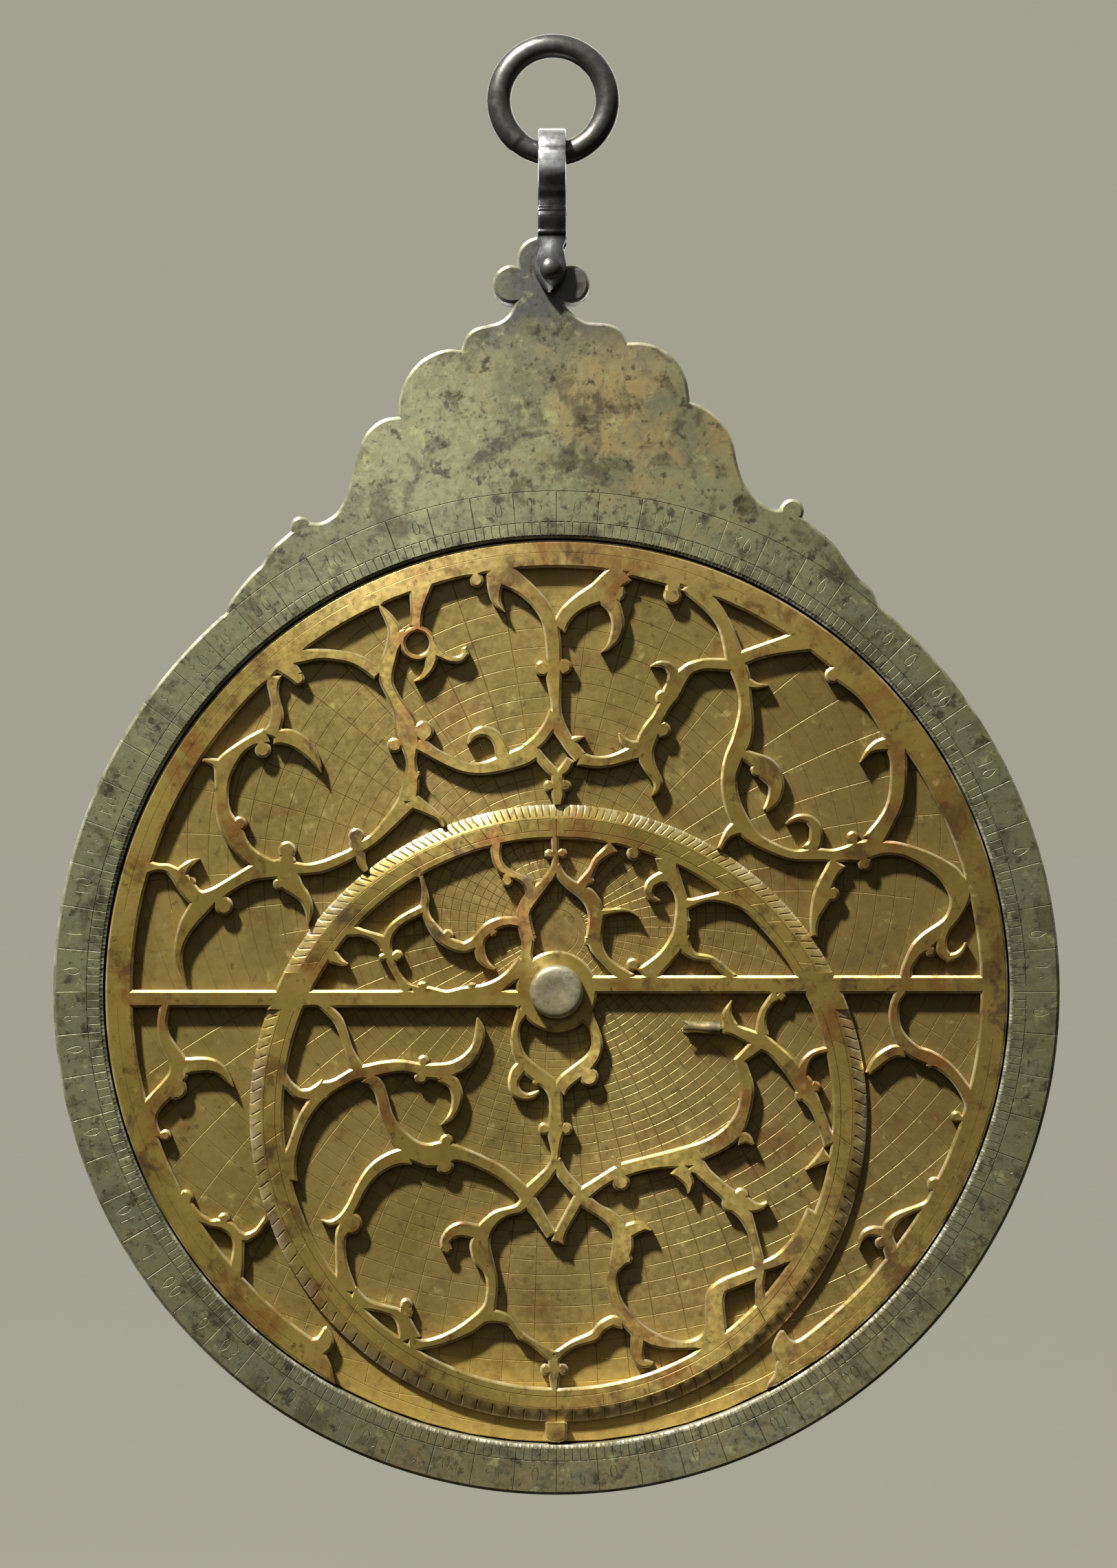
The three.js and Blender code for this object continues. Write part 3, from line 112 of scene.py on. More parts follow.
def face_loops(node, y):
    """Closed outlines of a CAD plate's flat face at depth y: the outer one first, then its holes."""
    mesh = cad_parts[node].data
    mesh.calc_loop_triangles()
    co = np.array([v.co[:] for v in mesh.vertices]) * 1000.0 - CENTRE
    key = {}
    index = [key.setdefault(tuple(np.round(p * 1000).astype(int)), len(key)) for p in co]
    points = np.zeros((len(key), 3))
    points[index] = co
    count = {}
    for tri in mesh.loop_triangles:
        ids = [index[v] for v in tri.vertices]
        if len(set(ids)) < 3 or max(abs(points[i][1] - y) for i in ids) > 0.004:
            continue
        for a, b in zip(ids, ids[1:] + ids[:1]):
            count[(a, b)] = 1
    after = {}
    for a, b in count:
        if (b, a) not in count:
            after.setdefault(a, []).append(b)
    loops = []
    while after:
        start = next(iter(after))
        loop, at = [], start
        while at in after:
            loop.append(at)
            nexts = after[at]
            to = nexts.pop()
            if not nexts:
                del after[at]
            at = to
        loops.append(points[loop][:, [0, 2]])
    loops.sort(key=lambda p: -abs(area(p)))
    return [p if (area(p) > 0) == (i == 0) else p[::-1] for i, p in enumerate(loops)]


def area(p):
    """Signed area of an outline."""
    q = np.roll(p, -1, axis=0)
    return 0.5 * float(np.sum(p[:, 0] * q[:, 1] - q[:, 0] * p[:, 1]))


def smooth_loop(p, step, corner=54.0):
    """A finer outline: a curve through the corners of p that keeps its sharp turns sharp."""
    d = np.roll(p, -1, axis=0) - p
    length = np.hypot(d[:, 0], d[:, 1])
    keep = length > 0.02
    p, d, length = p[keep], d[keep], length[keep]
    n = len(p)
    d = np.roll(p, -1, axis=0) - p
    length = np.hypot(d[:, 0], d[:, 1])
    heading = np.arctan2(d[:, 1], d[:, 0])
    turn = (heading - np.roll(heading, 1) + math.pi) % (2 * math.pi) - math.pi
    sharp = (np.abs(turn) > RAD(corner)) | (turn < -RAD(40))
    out = []
    for i in range(n):
        j, k = (i + 1) % n, (i + 2) % n
        p0 = 2 * p[i] - p[j] if sharp[i] else p[i - 1]
        p3 = 2 * p[j] - p[i] if sharp[j] else p[k]
        t1 = max(1e-3, np.linalg.norm(p[i] - p0)) ** 0.5
        t2 = max(1e-3, length[i]) ** 0.5
        t3 = max(1e-3, np.linalg.norm(p3 - p[j])) ** 0.5
        m1 = d[i] + t2 * ((p[i] - p0) / t1 - (p[j] - p0) / (t1 + t2))
        m2 = d[i] + t2 * ((p3 - p[j]) / t3 - (p3 - p[i]) / (t2 + t3))
        steps = max(1, int(round(length[i] / step)))
        for s in range(steps):
            u = s / steps
            h = (2 * u**3 - 3 * u**2 + 1, u**3 - 2 * u**2 + u, 3 * u**2 - 2 * u**3, u**3 - u**2)
            out.append(h[0] * p[i] + h[1] * m1 + h[2] * p[j] + h[3] * m2)
    return np.array(out)


def inset_loops(loops, width):
    """Each outline moved into the solid by width, less where the metal is narrow."""
    points = np.vstack(loops)
    moved = []
    for loop in loops:
        before, after = np.roll(loop, 1, axis=0), np.roll(loop, -1, axis=0)
        a, b = loop - before, after - loop
        a /= np.maximum(1e-9, np.linalg.norm(a, axis=1))[:, None]
        b /= np.maximum(1e-9, np.linalg.norm(b, axis=1))[:, None]
        t = a + b
        t /= np.maximum(1e-9, np.linalg.norm(t, axis=1))[:, None]
        normal = np.stack([-t[:, 1], t[:, 0]], axis=1)
        miter = 1 / np.maximum(0.55, np.sum(t * b, axis=1))
        room = np.empty(len(loop))
        for s in range(0, len(loop), 400):
            delta = points[None, :, :] - loop[s : s + 400, None, :]
            reach = np.einsum("ijk,ik->ij", delta, normal[s : s + 400])
            square = np.einsum("ijk,ijk->ij", delta, delta)
            faces_it = reach > 0.1 * np.sqrt(square) + 1e-6
            radius = np.where(faces_it, square / np.maximum(2 * reach, 1e-9), 1e9)
            room[s : s + 400] = radius.min(axis=1)
        depth = np.minimum(width * miter, 0.6 * room)
        moved.append(loop + normal * depth[:, None])
    return moved


def groove(line, width, depth):
    """An engraved line: (points, their depths, edges). Its ends run out to nothing."""
    line = np.asarray(line, float)
    if len(line) == 2:
        a, b = line
        u = min(0.25, 0.5 * width / max(1e-6, np.linalg.norm(b - a)))
        line = np.array([a, a + (b - a) * u, b - (b - a) * u, b])
    d = np.gradient(line, axis=0)
    d /= np.maximum(1e-9, np.linalg.norm(d, axis=1))[:, None]
    side = np.stack([-d[:, 1], d[:, 0]], axis=1) * width / 2
    n = len(line)
    left, right = (line + side)[1:-1], (line - side)[1:-1]
    points = np.vstack([line, left, right])
    depths = np.zeros(len(points))
    depths[1 : n - 1] = depth
    edges = [(i, i + 1) for i in range(n - 1)]
    for start in (n, n + len(left)):
        edges.append((0, start))
        edges += [(start + i, start + i + 1) for i in range(len(left) - 1)]
        edges.append((start + len(left) - 1, n - 1))
    return points, depths, edges


def inside_triangles(tris, edge_ids, edge_list, limit):
    """Triangles on the solid side of the outlines, which are the input edges below limit."""
    wall = set()
    for edge, ids in zip(edge_list, edge_ids):
        if sum(1 for i in ids if i < limit) % 2:
            wall.add((min(edge), max(edge)))
    owner = {}
    for t, tri in enumerate(tris):
        for a, b in zip(tri, list(tri[1:]) + [tri[0]]):
            owner.setdefault((min(a, b), max(a, b)), []).append(t)
    state = [None] * len(tris)
    queue = []
    for edge, owners in owner.items():
        if len(owners) == 1 and state[owners[0]] is None:
            state[owners[0]] = edge in wall
            queue.append(owners[0])
    while queue:
        t = queue.pop()
        tri = tris[t]
        for a, b in zip(tri, list(tri[1:]) + [tri[0]]):
            edge = (min(a, b), max(a, b))
            for other in owner[edge]:
                if state[other] is None:
                    state[other] = state[t] != (edge in wall)
                    queue.append(other)
    return [tri for tri, kept in zip(tris, state) if kept]


def triangulate(points, edges, limit):
    """Fills outlines, which are the first edges up to limit, and keeps the other edges as lines."""
    coords = [Vector((float(x), float(z))) for x, z in points]
    verts, out_edges, tris, orig_verts, orig_edges, _ = delaunay_2d_cdt(coords, edges, [], 0, 1e-5, True)
    verts = np.array([v[:] for v in verts])
    kept = inside_triangles(tris, orig_edges, out_edges, limit)
    return verts, kept, orig_verts, out_edges, orig_edges


def engraved_plate(name, loops, face_y, back_y, material, grooves=(), creases=(), drop=None, bevel=0.3):
    """A plate whose face carries V-shaped engraved lines and whose edge is softly broken."""
    toward = 1.0 if back_y > face_y else -1.0
    inner = inset_loops(loops, bevel)
    points, depths, edges, outer_of = [], [], [], []
    for loop, moved in zip(loops, inner):
        start, n = len(points), len(loop)
        points += moved.tolist()
        depths += [0.0] * n
        for i in range(n):
            edges.append((start + i, start + (i + 1) % n))
            outer_of.append((loop[i], loop[(i + 1) % n]))
    limit = len(edges)
    for pts, dep, eds in grooves:
        start = len(points)
        points += pts.tolist()
        depths += dep.tolist()
        edges += [(start + a, start + b) for a, b in eds]
    for line in creases:
        start = len(points)
        points += [list(p) for p in line]
        depths += [0.0] * len(line)
        edges += [(start + i, start + i + 1) for i in range(len(line) - 1)]
    source = np.array(points)
    verts, tris, orig_verts, out_edges, orig_edges = triangulate(points, edges, limit)
    depth = np.zeros(len(verts))
    for v, ids in enumerate(orig_verts):
        depth[v] = max([depths[i] for i in ids], default=0.0)
    for (a, b), ids in zip(out_edges, orig_edges):
        for e in ids:
            if e < limit:
                continue
            i, j = edges[e]
            if depths[i] == 0 and depths[j] == 0:
                continue
            span = source[j] - source[i]
            for v in (a, b):
                if not orig_verts[v]:
                    t = float(np.dot(verts[v] - source[i], span) / max(1e-12, np.dot(span, span)))
                    depth[v] = max(depth[v], depths[i] + (depths[j] - depths[i]) * min(1, max(0, t)))
    used = sorted({v for tri in tris for v in tri})
    remap = {v: i for i, v in enumerate(used)}
    flat = verts[used]
    fall = np.array([drop(x, z) for x, z in flat]) if drop else np.zeros(len(flat))
    top = np.column_stack([flat[:, 0], face_y + toward * (fall + depth[used]), flat[:, 1]])
    directed = {}
    for tri in tris:
        for a, b in zip(tri, list(tri[1:]) + [tri[0]]):
            directed[(remap[a], remap[b])] = True
    rim = [(a, b) for a, b in directed if (b, a) not in directed]
    partner = {}
    for (a, b), ids in zip(out_edges, orig_edges):
        wall = [e for e in ids if e < limit]
        if not wall or a not in remap or b not in remap:
            continue
        i, j = edges[wall[0]]
        span = source[j] - source[i]
        o0, o1 = outer_of[wall[0]]
        for v in (a, b):
            if remap[v] not in partner:
                t = float(np.dot(verts[v] - source[i], span) / max(1e-12, np.dot(span, span)))
                partner[remap[v]] = o0 + (o1 - o0) * min(1, max(0, t))
    face = (top, [[remap[v] for v in tri] for tri in tris], rim, partner, depth[used], fall)
    return close_plate(name, face, face_y, back_y, bevel, material)


def close_plate(name, face, face_y, back_y, bevel, material):
    """Adds the broken edge, the walls and the back to an engraved face, which is (points,
    triangles, rim edges, the outline point of each rim vertex, depths of the cuts, slopes)."""
    top, tris, rim, partner, depth, fall = face
    toward = 1.0 if back_y > face_y else -1.0
    n = len(top)
    ring = sorted({a for a, _ in rim})
    order = {v: i for i, v in enumerate(ring)}
    outer = np.array([partner[v] for v in ring])
    m = len(ring)
    y_low = face_y + toward * (fall[ring] + 0.7 * bevel)
    shoulder = np.column_stack([outer[:, 0], y_low, outer[:, 1]])
    foot = np.column_stack([outer[:, 0], np.full(m, back_y), outer[:, 1]])
    verts = np.vstack([top, shoulder, foot])
    faces = []

    def add(loop):
        faces.append(loop if toward > 0 else loop[::-1])

    for tri in tris:
        add(tuple(tri))
    back_edges = []
    for a, b in rim:
        sa, sb = n + order[a], n + order[b]
        ba, bb = sa + m, sb + m
        add((b, a, sa, sb))
        add((sb, sa, ba, bb))
        back_edges.append((order[a], order[b]))
    back_verts, back_tris, orig, _, _ = triangulate(outer, back_edges, len(back_edges))
    lookup = {}
    for v, ids in enumerate(orig):
        lookup[v] = n + m + ids[0] if ids else None
    extra = {}
    for tri in back_tris:
        ids = []
        for v in tri:
            if lookup[v] is None and v not in extra:
                extra[v] = len(verts) + len(extra)
            ids.append(extra[v] if lookup[v] is None else lookup[v])
        add(tuple(ids[::-1]))
    if extra:
        more = [[back_verts[v][0], back_y, back_verts[v][1]] for v in extra]
        verts = np.vstack([verts, more])
    total = len(verts)
    soil_and_shade = np.zeros(total)
    soil_and_shade[:n] = np.minimum(1.0, depth / 0.08)
    edge = np.zeros(total)
    edge[:n] = 0.6 * fall
    edge[n : n + m] = 1.0
    return new_object(name, verts, faces, material, {"soil_and_shade": soil_and_shade, "edge": edge}, smooth=28)


# ------------------------------------------------------------------ engraved lines
def circle_line(x, z, r, a0=0.0, a1=360.0, step=1.0):
    """Points along an arc between two angles in degrees."""
    n = max(2, int(round(abs(a1 - a0) * max(1.0, r / 30) / step)))
    a = np.radians(np.linspace(a0, a1, n + 1))
    return np.column_stack([x + r * np.cos(a), z + r * np.sin(a)])


def clipped(line, keep):
    """The stretches of a line where keep(x, z) holds."""
    runs, run = [], []
    for p in line:
        if keep(*p):
            run.append(p)
        else:
            if len(run) > 2:
                runs.append(np.array(run))
            run = []
    if len(run) > 2:
        runs.append(np.array(run))
    return runs


def turned_by(line, degrees):
    """A line turned about the origin."""
    c, s = math.cos(RAD(degrees)), math.sin(RAD(degrees))
    return np.column_stack([line[:, 0] * c - line[:, 1] * s, line[:, 0] * s + line[:, 1] * c])


# strokes of generic numerals in a unit square
DIGITS = {
    "0": [[(0.4, 0.45), (0.5, 0.58), (0.6, 0.45), (0.5, 0.32), (0.4, 0.45)]],
    "1": [[(0.42, 1.0), (0.5, 0.6), (0.56, 0.0)]],
    "2": [
        [(0.22, 1.0), (0.3, 0.78), (0.5, 0.7), (0.7, 0.8), (0.76, 1.0)],
        [(0.26, 0.9), (0.38, 0.5), (0.42, 0.0)],
    ],
    "3": [
        [(0.14, 1.0), (0.2, 0.78), (0.36, 0.74), (0.46, 0.96), (0.54, 0.76), (0.7, 0.74), (0.82, 1.0)],
        [(0.18, 0.86), (0.32, 0.4), (0.36, 0.0)],
    ],
    "4": [[(0.76, 0.95), (0.44, 0.9), (0.34, 0.74), (0.64, 0.6),
           (0.34, 0.48), (0.28, 0.22), (0.5, 0.06), (0.8, 0.04)]],
    "5": [[(0.5, 1.0), (0.24, 0.6), (0.2, 0.3), (0.36, 0.08),
           (0.64, 0.08), (0.8, 0.3), (0.74, 0.6), (0.5, 1.0)]],
    "6": [[(0.22, 1.0), (0.7, 0.92), (0.64, 0.5), (0.6, 0.0)]],
    "7": [[(0.18, 1.0), (0.5, 0.0), (0.82, 1.0)]],
    "8": [[(0.18, 0.0), (0.5, 1.0), (0.82, 0.0)]],
    "9": [[(0.68, 0.6), (0.38, 0.56), (0.3, 0.8), (0.5, 1.0), (0.7, 0.84), (0.68, 0.4), (0.62, 0.0)]],
}


def number(value, x, z, height, degrees, width=0.2, depth=0.07):
    """Grooves of a number centred on (x, z), its top turned by degrees from straight up."""
    made = []
    text = str(value)
    pitch = 0.62 * height
    for i, digit in enumerate(text):
        shift = (i - (len(text) - 1) / 2) * pitch
        for stroke in DIGITS[digit]:
            line = np.array([((u - 0.5) * 0.6 * height + shift, (v - 0.5) * height) for u, v in stroke])
            made.append(groove(turned_by(line, degrees) + (x, z), width, depth))
    return made


def limb_grooves():
    """A tick for each degree, a long one for each fifth, and a number between the long ones."""
    made = [
        groove(circle_line(0, 0, SCALE_OUT, 0.5, 359.5), 0.2, 0.08),
        groove(circle_line(0, 0, SCALE_MID, 0.5, 359.5), 0.24, 0.1),
        groove(circle_line(0, 0, SCALE_IN, 0.5, 359.5), 0.16, 0.06),
    ]
    for i in range(360):
        u = np.array([math.cos(RAD(i)), math.sin(RAD(i))])
        reach, width = (SCALE_MID, 0.2) if i % 5 else (SCALE_OUT, 0.24)
        made.append(groove([u * (SCALE_IN + 0.05), u * reach], width, 0.08))
    middle = (SCALE_MID + SCALE_OUT) / 2
    for i in range(72):
        a = 90 - (i * 5 + 2.5)
        x, z = middle * math.cos(RAD(a)), middle * math.sin(RAD(a))
        made += number((i % 18 + 1) * 5, x, z, 3.3, a - 90)
    return made


def on_plate(x, z):
    """Whether a point lies on the tympan's engraved field."""
    return math.hypot(x, z) < TYMPAN_R


def tympan_grooves():
    """Stereographic circles of a plate for the ecliptic's pole, turned a little in its seat."""
    phi = 90 - OBLIQUITY
    sin_phi, cos_phi = math.sin(RAD(phi)), math.cos(RAD(phi))
    lines = []
    for a in range(-87, 88, 3):
        base = sin_phi + math.sin(RAD(a))
        if abs(base) < 0.012:
            continue
        z, r = R_EQUATOR * cos_phi / base, abs(R_EQUATOR * math.cos(RAD(a)) / base)
        if r < 4:
            continue
        lines += clipped(circle_line(0, z, r, -269.9, 89.9, 1.2), on_plate)
    top = R_EQUATOR * math.tan(RAD((90 - phi) / 2))
    low = -R_EQUATOR / math.tan(RAD((90 - phi) / 2))
    mid, half = (top + low) / 2, (top - low) / 2
    for i in range(-14, 15):
        a = RAD(6 * i)
        x, r = half * math.tan(a), half / math.cos(a)
        start = 90 if i == 0 else (0 if x < 0 else 180)
        line = circle_line(x, mid, r, start - 100, start + 100, 0.25 * max(1, 400 / r) ** 0.5)
        lines += clipped(line, lambda u, v: 5.5 < math.hypot(u, v - top) and on_plate(u, v) and v > -79)
    lines.append(np.array([(0, 79.4), (0, 20), (0, -20), (0, -79.4)]))
    made = [groove(turned_by(line, TYMPAN_TURN), 0.19, 0.08) for line in lines]
    made.append(groove(circle_line(0, 0, 79.8, 0.5, 359.5), 0.2, 0.08))
    for a in range(-54, -9, 6):
        base = sin_phi + math.sin(RAD(a + 1.5))
        z = R_EQUATOR * (cos_phi - math.cos(RAD(a + 1.5))) / base
        spot = turned_by(np.array([[1.5, z], [-1.5, z]]), TYMPAN_TURN)
        for p, shift in zip(spot, (0, 2)):
            if math.hypot(*p) < 76:
                made += number(-a + shift, p[0], p[1], 1.7, TYMPAN_TURN, 0.14, 0.06)
    return made


def ecliptic_point(longitude, r):
    """Where a degree of the ecliptic falls on its circle, and the point r mm from its centre."""
    eps = RAD(OBLIQUITY)
    lam = RAD(longitude)
    alpha = math.atan2(math.sin(lam) * math.cos(eps), math.cos(lam))
    delta = math.asin(math.sin(lam) * math.sin(eps))
    reach = R_EQUATOR * math.tan((math.pi / 2 - delta) / 2)
    on = np.array([reach * math.cos(alpha), reach * math.sin(alpha)])
    centre = np.array(ECLIPTIC)
    pole = np.array([0.0, R_EQUATOR * math.tan(RAD(OBLIQUITY / 2))])
    ray = on - pole
    ray /= np.linalg.norm(ray)
    off = pole - centre
    b, c = float(np.dot(ray, off)), float(np.dot(off, off)) - r * r
    return pole + ray * (-b + math.sqrt(b * b - c))


def off_bar(p, gap=3.9):
    """Whether a point is clear of the rete's cross bar."""
    return abs(p[1] - BAR_Z) > gap


def rete_grooves():
    """The ecliptic's notched rim, its signs and degrees, and lines along the outer ring."""
    x, z = ECLIPTIC
    made = []
    for radius, width, depth in ((51.5, 0.18, 0.08), (CREASE_R - 0.08, 0.16, 0.07)):
        for run in clipped(circle_line(x, z, radius, -269, 89), lambda u, v: off_bar((u, v), 3.1)):
            made.append(groove(run, width, depth))
    for degree in range(0, 360, 2):
        a, b = ecliptic_point(degree, 54.0), ecliptic_point(degree, 56.15)
        if off_bar(a) and off_bar(b):
            made.append(groove([a, b], 0.42, 0.16))
    for degree in range(0, 360, 30):
        a, b = ecliptic_point(degree, ECLIPTIC_IN + 0.2), ecliptic_point(degree, 53.6)
        if off_bar(a, 3.2) and off_bar(b, 3.2):
            made.append(groove([a, b], 0.2, 0.09))
    for degree in range(0, 360, 6):
        a, b = ecliptic_point(degree, 51.6), ecliptic_point(degree, 53.6)
        if degree % 30 and off_bar(a) and off_bar(b):
            made.append(groove([a, b], 0.16, 0.07))
    for start in (-58, 64, 118, 182):
        made.append(groove(circle_line(0, 0, 79.9, start, start + 52), 0.14, 0.05))
    return made


def rete_drop(x, z):
    """How far the divided rim of the ecliptic slopes away behind the rete's face."""
    if abs(z - BAR_Z) < BAR_HALF:
        return 0.0
    r = math.hypot(x - ECLIPTIC[0], z - ECLIPTIC[1])
    return (r - CREASE_R) / (ECLIPTIC_OUT - CREASE_R) if CREASE_R < r < ECLIPTIC_OUT + 0.015 else 0.0


def rete_creases():
    """Lines where the slope of the ecliptic's rim starts and stops."""
    x, z = ECLIPTIC
    lines = [circle_line(x, z, r, 0, 360, 0.8) for r in (CREASE_R, ECLIPTIC_OUT - 0.02, ECLIPTIC_OUT + 0.05)]
    for side in (-1, 1):
        for gap in (BAR_HALF - 0.03, BAR_HALF + 0.03):
            lines.append(np.array([(-58.0, BAR_Z + side * gap), (58.0, BAR_Z + side * gap)]))
    return lines


def back_grooves():
    """An altitude scale over the upper half, with a sine quadrant's lines in it where x is positive
    and arcs where it is negative, and a shadow square below."""
    made = [groove(circle_line(0, 0, r, 0.5, 359.5), 0.22, 0.09) for r in (BACK_OUT, BACK_MID, BACK_IN)]
    for i in range(181):
        u = np.array([math.cos(RAD(i)), math.sin(RAD(i))])
        made.append(groove([u * BACK_IN, u * (BACK_MID if i % 5 else BACK_OUT)], 0.2, 0.08))
    for line in ([(-83, 0), (83, 0)], [(0, -83), (0, 83)]):
        made.append(groove(line, 0.22, 0.09))
    for k in range(1, 12):
        s = 60 * k / 12
        for tick in ([(-SQUARE_IN, -s), (-SQUARE_OUT, -s)], [(SQUARE_IN, -s), (SQUARE_OUT, -s)],
                     [(-s, -SQUARE_IN), (-s, -SQUARE_OUT)], [(s, -SQUARE_IN), (s, -SQUARE_OUT)]):
            made.append(groove(tick, 0.18, 0.07))
    for h in (SQUARE_IN, SQUARE_OUT):
        for side in ([(-h, -0.5), (-h, -h)], [(h, -0.5), (h, -h)], [(-h, -h), (h, -h)]):
            made.append(groove(side, 0.2, 0.08))
    for k in range(1, 12):
        z = 80 * k / 12
        made.append(groove([(0.5, z), (math.sqrt(GRID_R**2 - z * z), z)], 0.16, 0.06))
    for k in range(1, 12):
        made.append(groove(circle_line(0, 0, 80 * k / 12, 91, 179), 0.16, 0.06))
    return made


# ------------------------------------------------------------------ materials
def linear(r, g, b):
    """Scene-linear colour of an 8-bit sRGB one."""
    out = [(v / 255 / 12.92) if v <= 10 else ((v / 255 + 0.055) / 1.055) ** 2.4 for v in (r, g, b)]
    return (*out, 1.0)


class Shader:
    """A Principled material built from object-space noise."""

    def __init__(self, name):
        self.material = bpy.data.materials.new(name)
        self.material.use_nodes = True
        self.tree = self.material.node_tree
        self.bsdf = self.tree.nodes["Principled BSDF"]
        self.coords = self.tree.nodes.new("ShaderNodeTexCoord").outputs["Object"]

    def node(self, kind, **values):
        made = self.tree.nodes.new(kind)
        for key, value in values.items():
            setattr(made, key, value)
        return made

    def link(self, a, b):
        self.tree.links.new(a, b)

    def noise(self, size_mm, detail=4.0, rough=0.6, distort=0.0, seed=0.0):
        made = self.node("ShaderNodeTexNoise", noise_dimensions="4D")
        self.link(self.coords, made.inputs["Vector"])
        for key, value in (("Scale", 1000.0 / size_mm), ("Detail", detail), ("Roughness", rough),
                           ("Distortion", distort), ("W", seed)):
            made.inputs[key].default_value = value
        return made.outputs["Fac"]

    def ramp(self, value, low, high, start=0.0, end=1.0):
        made = self.node("ShaderNodeMapRange", interpolation_type="SMOOTHSTEP")
        self.link(value, made.inputs["Value"])
        for key, number in (("From Min", low), ("From Max", high), ("To Min", start), ("To Max", end)):
            made.inputs[key].default_value = number
        return made.outputs["Result"]

    def math(self, operation, a, b):
        made = self.node("ShaderNodeMath", operation=operation)
        for socket, value in zip(made.inputs, (a, b)):
            if hasattr(value, "links"):
                self.link(value, socket)
            else:
                socket.default_value = value
        return made.outputs[0]

    def along(self, axis, start, full, amount):
        """Grows from 0 to amount between two places on the disc's x or z axis, in millimetres."""
        made = self.node("ShaderNodeSeparateXYZ")
        self.link(self.coords, made.inputs[0])
        start, full = ((v + CENTRE["XYZ".index(axis)]) / 1000 for v in (start, full))
        if start < full:
            return self.ramp(made.outputs[axis], start, full, 0.0, amount)
        return self.ramp(made.outputs[axis], full, start, amount, 0.0)

    def attribute(self, name):
        return self.node("ShaderNodeAttribute", attribute_name=name).outputs["Fac"]

    def mix(self, base, color, amount):
        made = self.node("ShaderNodeMix", data_type="RGBA")
        for socket, value in ((6, base), (7, color), (0, amount)):
            if hasattr(value, "links"):
                self.link(value, made.inputs[socket])
            else:
                made.inputs[socket].default_value = value
        return made.outputs[2]

    def finish(self, color, metallic, rough, bump, bump_mm):
        self.link(color, self.bsdf.inputs["Base Color"])
        self.bsdf.inputs["Metallic"].default_value = metallic
        self.link(rough, self.bsdf.inputs["Roughness"])
        made = self.node("ShaderNodeBump")
        made.inputs["Strength"].default_value = bump
        made.inputs["Distance"].default_value = BUMP_DEPTH
        self.link(self.noise(bump_mm, 6, 0.65), made.inputs["Height"])
        self.link(made.outputs["Normal"], self.bsdf.inputs["Normal"])
        return self.material


def aged_metal(
    name, base, layers, soil_and_shade_tone, worn, metallic, rough,
    bump=0.25, bump_mm=1.1, tone_and_light_zones=(), brushed=0.0, matt=0.45,
):
    """Old metal. Each layer of tarnish is (size in mm, where it starts, where it is full, colour,
    strength). The fourth argument is the (colour, strength) laid by the mesh's mask attribute: soil in
    the engraved lines, painted shade on the shackle's strap, and a darker stretch at one end of the
    mended pointer. worn is the (colour, strength) of rubbed edges. Each band, over the first layer, is
    (axis, where it starts, where it is full, colour, strength); some are the metal's own tone and some
    are painted light and shade. matt is how much rougher the surface is under the masked colour."""
    s = Shader(name)
    color = base
    for i, (size, low, high, tone, strength) in enumerate(layers):
        swirl = 0.5 if size > 5 else 0.15
        patch = s.ramp(s.noise(size, 6, 0.66, swirl, 3.7 * i), low, high, 0.0, strength)
        color = s.mix(color, tone, patch)
        if i == 0:
            for axis, start, full, shade, amount in tone_and_light_zones:
                color = s.mix(color, shade, s.along(axis, start, full, amount))
    # the masked colour: soil in engraved lines, painted shade on the strap
    soil_and_shade_mix = s.math("MULTIPLY", s.attribute("soil_and_shade"), soil_and_shade_tone[1])
    color = s.mix(color, soil_and_shade_tone[0], soil_and_shade_mix)
    rubbed = s.ramp(s.noise(6, 4, seed=9), 0.4, 0.62, 0.1 * worn[1], worn[1])
    edge = s.math("MULTIPLY", s.attribute("edge"), rubbed)
    color = s.mix(color, worn[0], edge)
    low, high = rough
    grain = s.ramp(s.noise(1.2, 3, seed=5), 0.3, 0.7, low, high)
    grain = s.math("SUBTRACT", grain, s.math("MULTIPLY", edge, low * 0.35))
    grain = s.math("ADD", grain, s.math("MULTIPLY", soil_and_shade_mix, matt))
    if brushed:
        turned = s.node("ShaderNodeTangent", direction_type="RADIAL", axis="Y")
        s.link(turned.outputs[0], s.bsdf.inputs["Tangent"])
        s.bsdf.inputs["Anisotropic"].default_value = brushed
        s.bsdf.inputs["Anisotropic Rotation"].default_value = 0.25
    return s.finish(color, metallic, grain, bump, bump_mm)


LIMB = aged_metal(
    "limb_brass", linear(129, 131, 97),
    [(42, 0.5, 0.66, linear(158, 130, 78), 0.5), (16, 0.46, 0.62, linear(106, 108, 82), 0.9),
     (6, 0.5, 0.62, linear(82, 79, 58), 0.8), (11, 0.56, 0.66, linear(58, 55, 46), 0.75),
     (2.4, 0.55, 0.65, linear(54, 49, 40), 0.8), (3.2, 0.56, 0.69, linear(164, 166, 112), 0.55),
     (1.1, 0.57, 0.67, linear(58, 53, 44), 0.7)],
    (linear(38, 33, 25), 0.85), (linear(214, 212, 190), 0.6), 0.45, (0.38, 0.54), bump=0.4,
    # Darker and yellower towards the bottom; darker towards the right, painted shade for the key light's
    # falloff; greener and darker to the left; the throne's top in the trefoil's iron grey.
    tone_and_light_zones=[("Z", 20, -90, linear(112, 96, 58), 0.6), ("X", 10, 95, linear(70, 66, 40), 0.5),
           ("X", 0, -60, linear(104, 106, 84), 0.4), ("Z", 113, 124, linear(74, 76, 79), 0.92)],
    brushed=0.55,
)
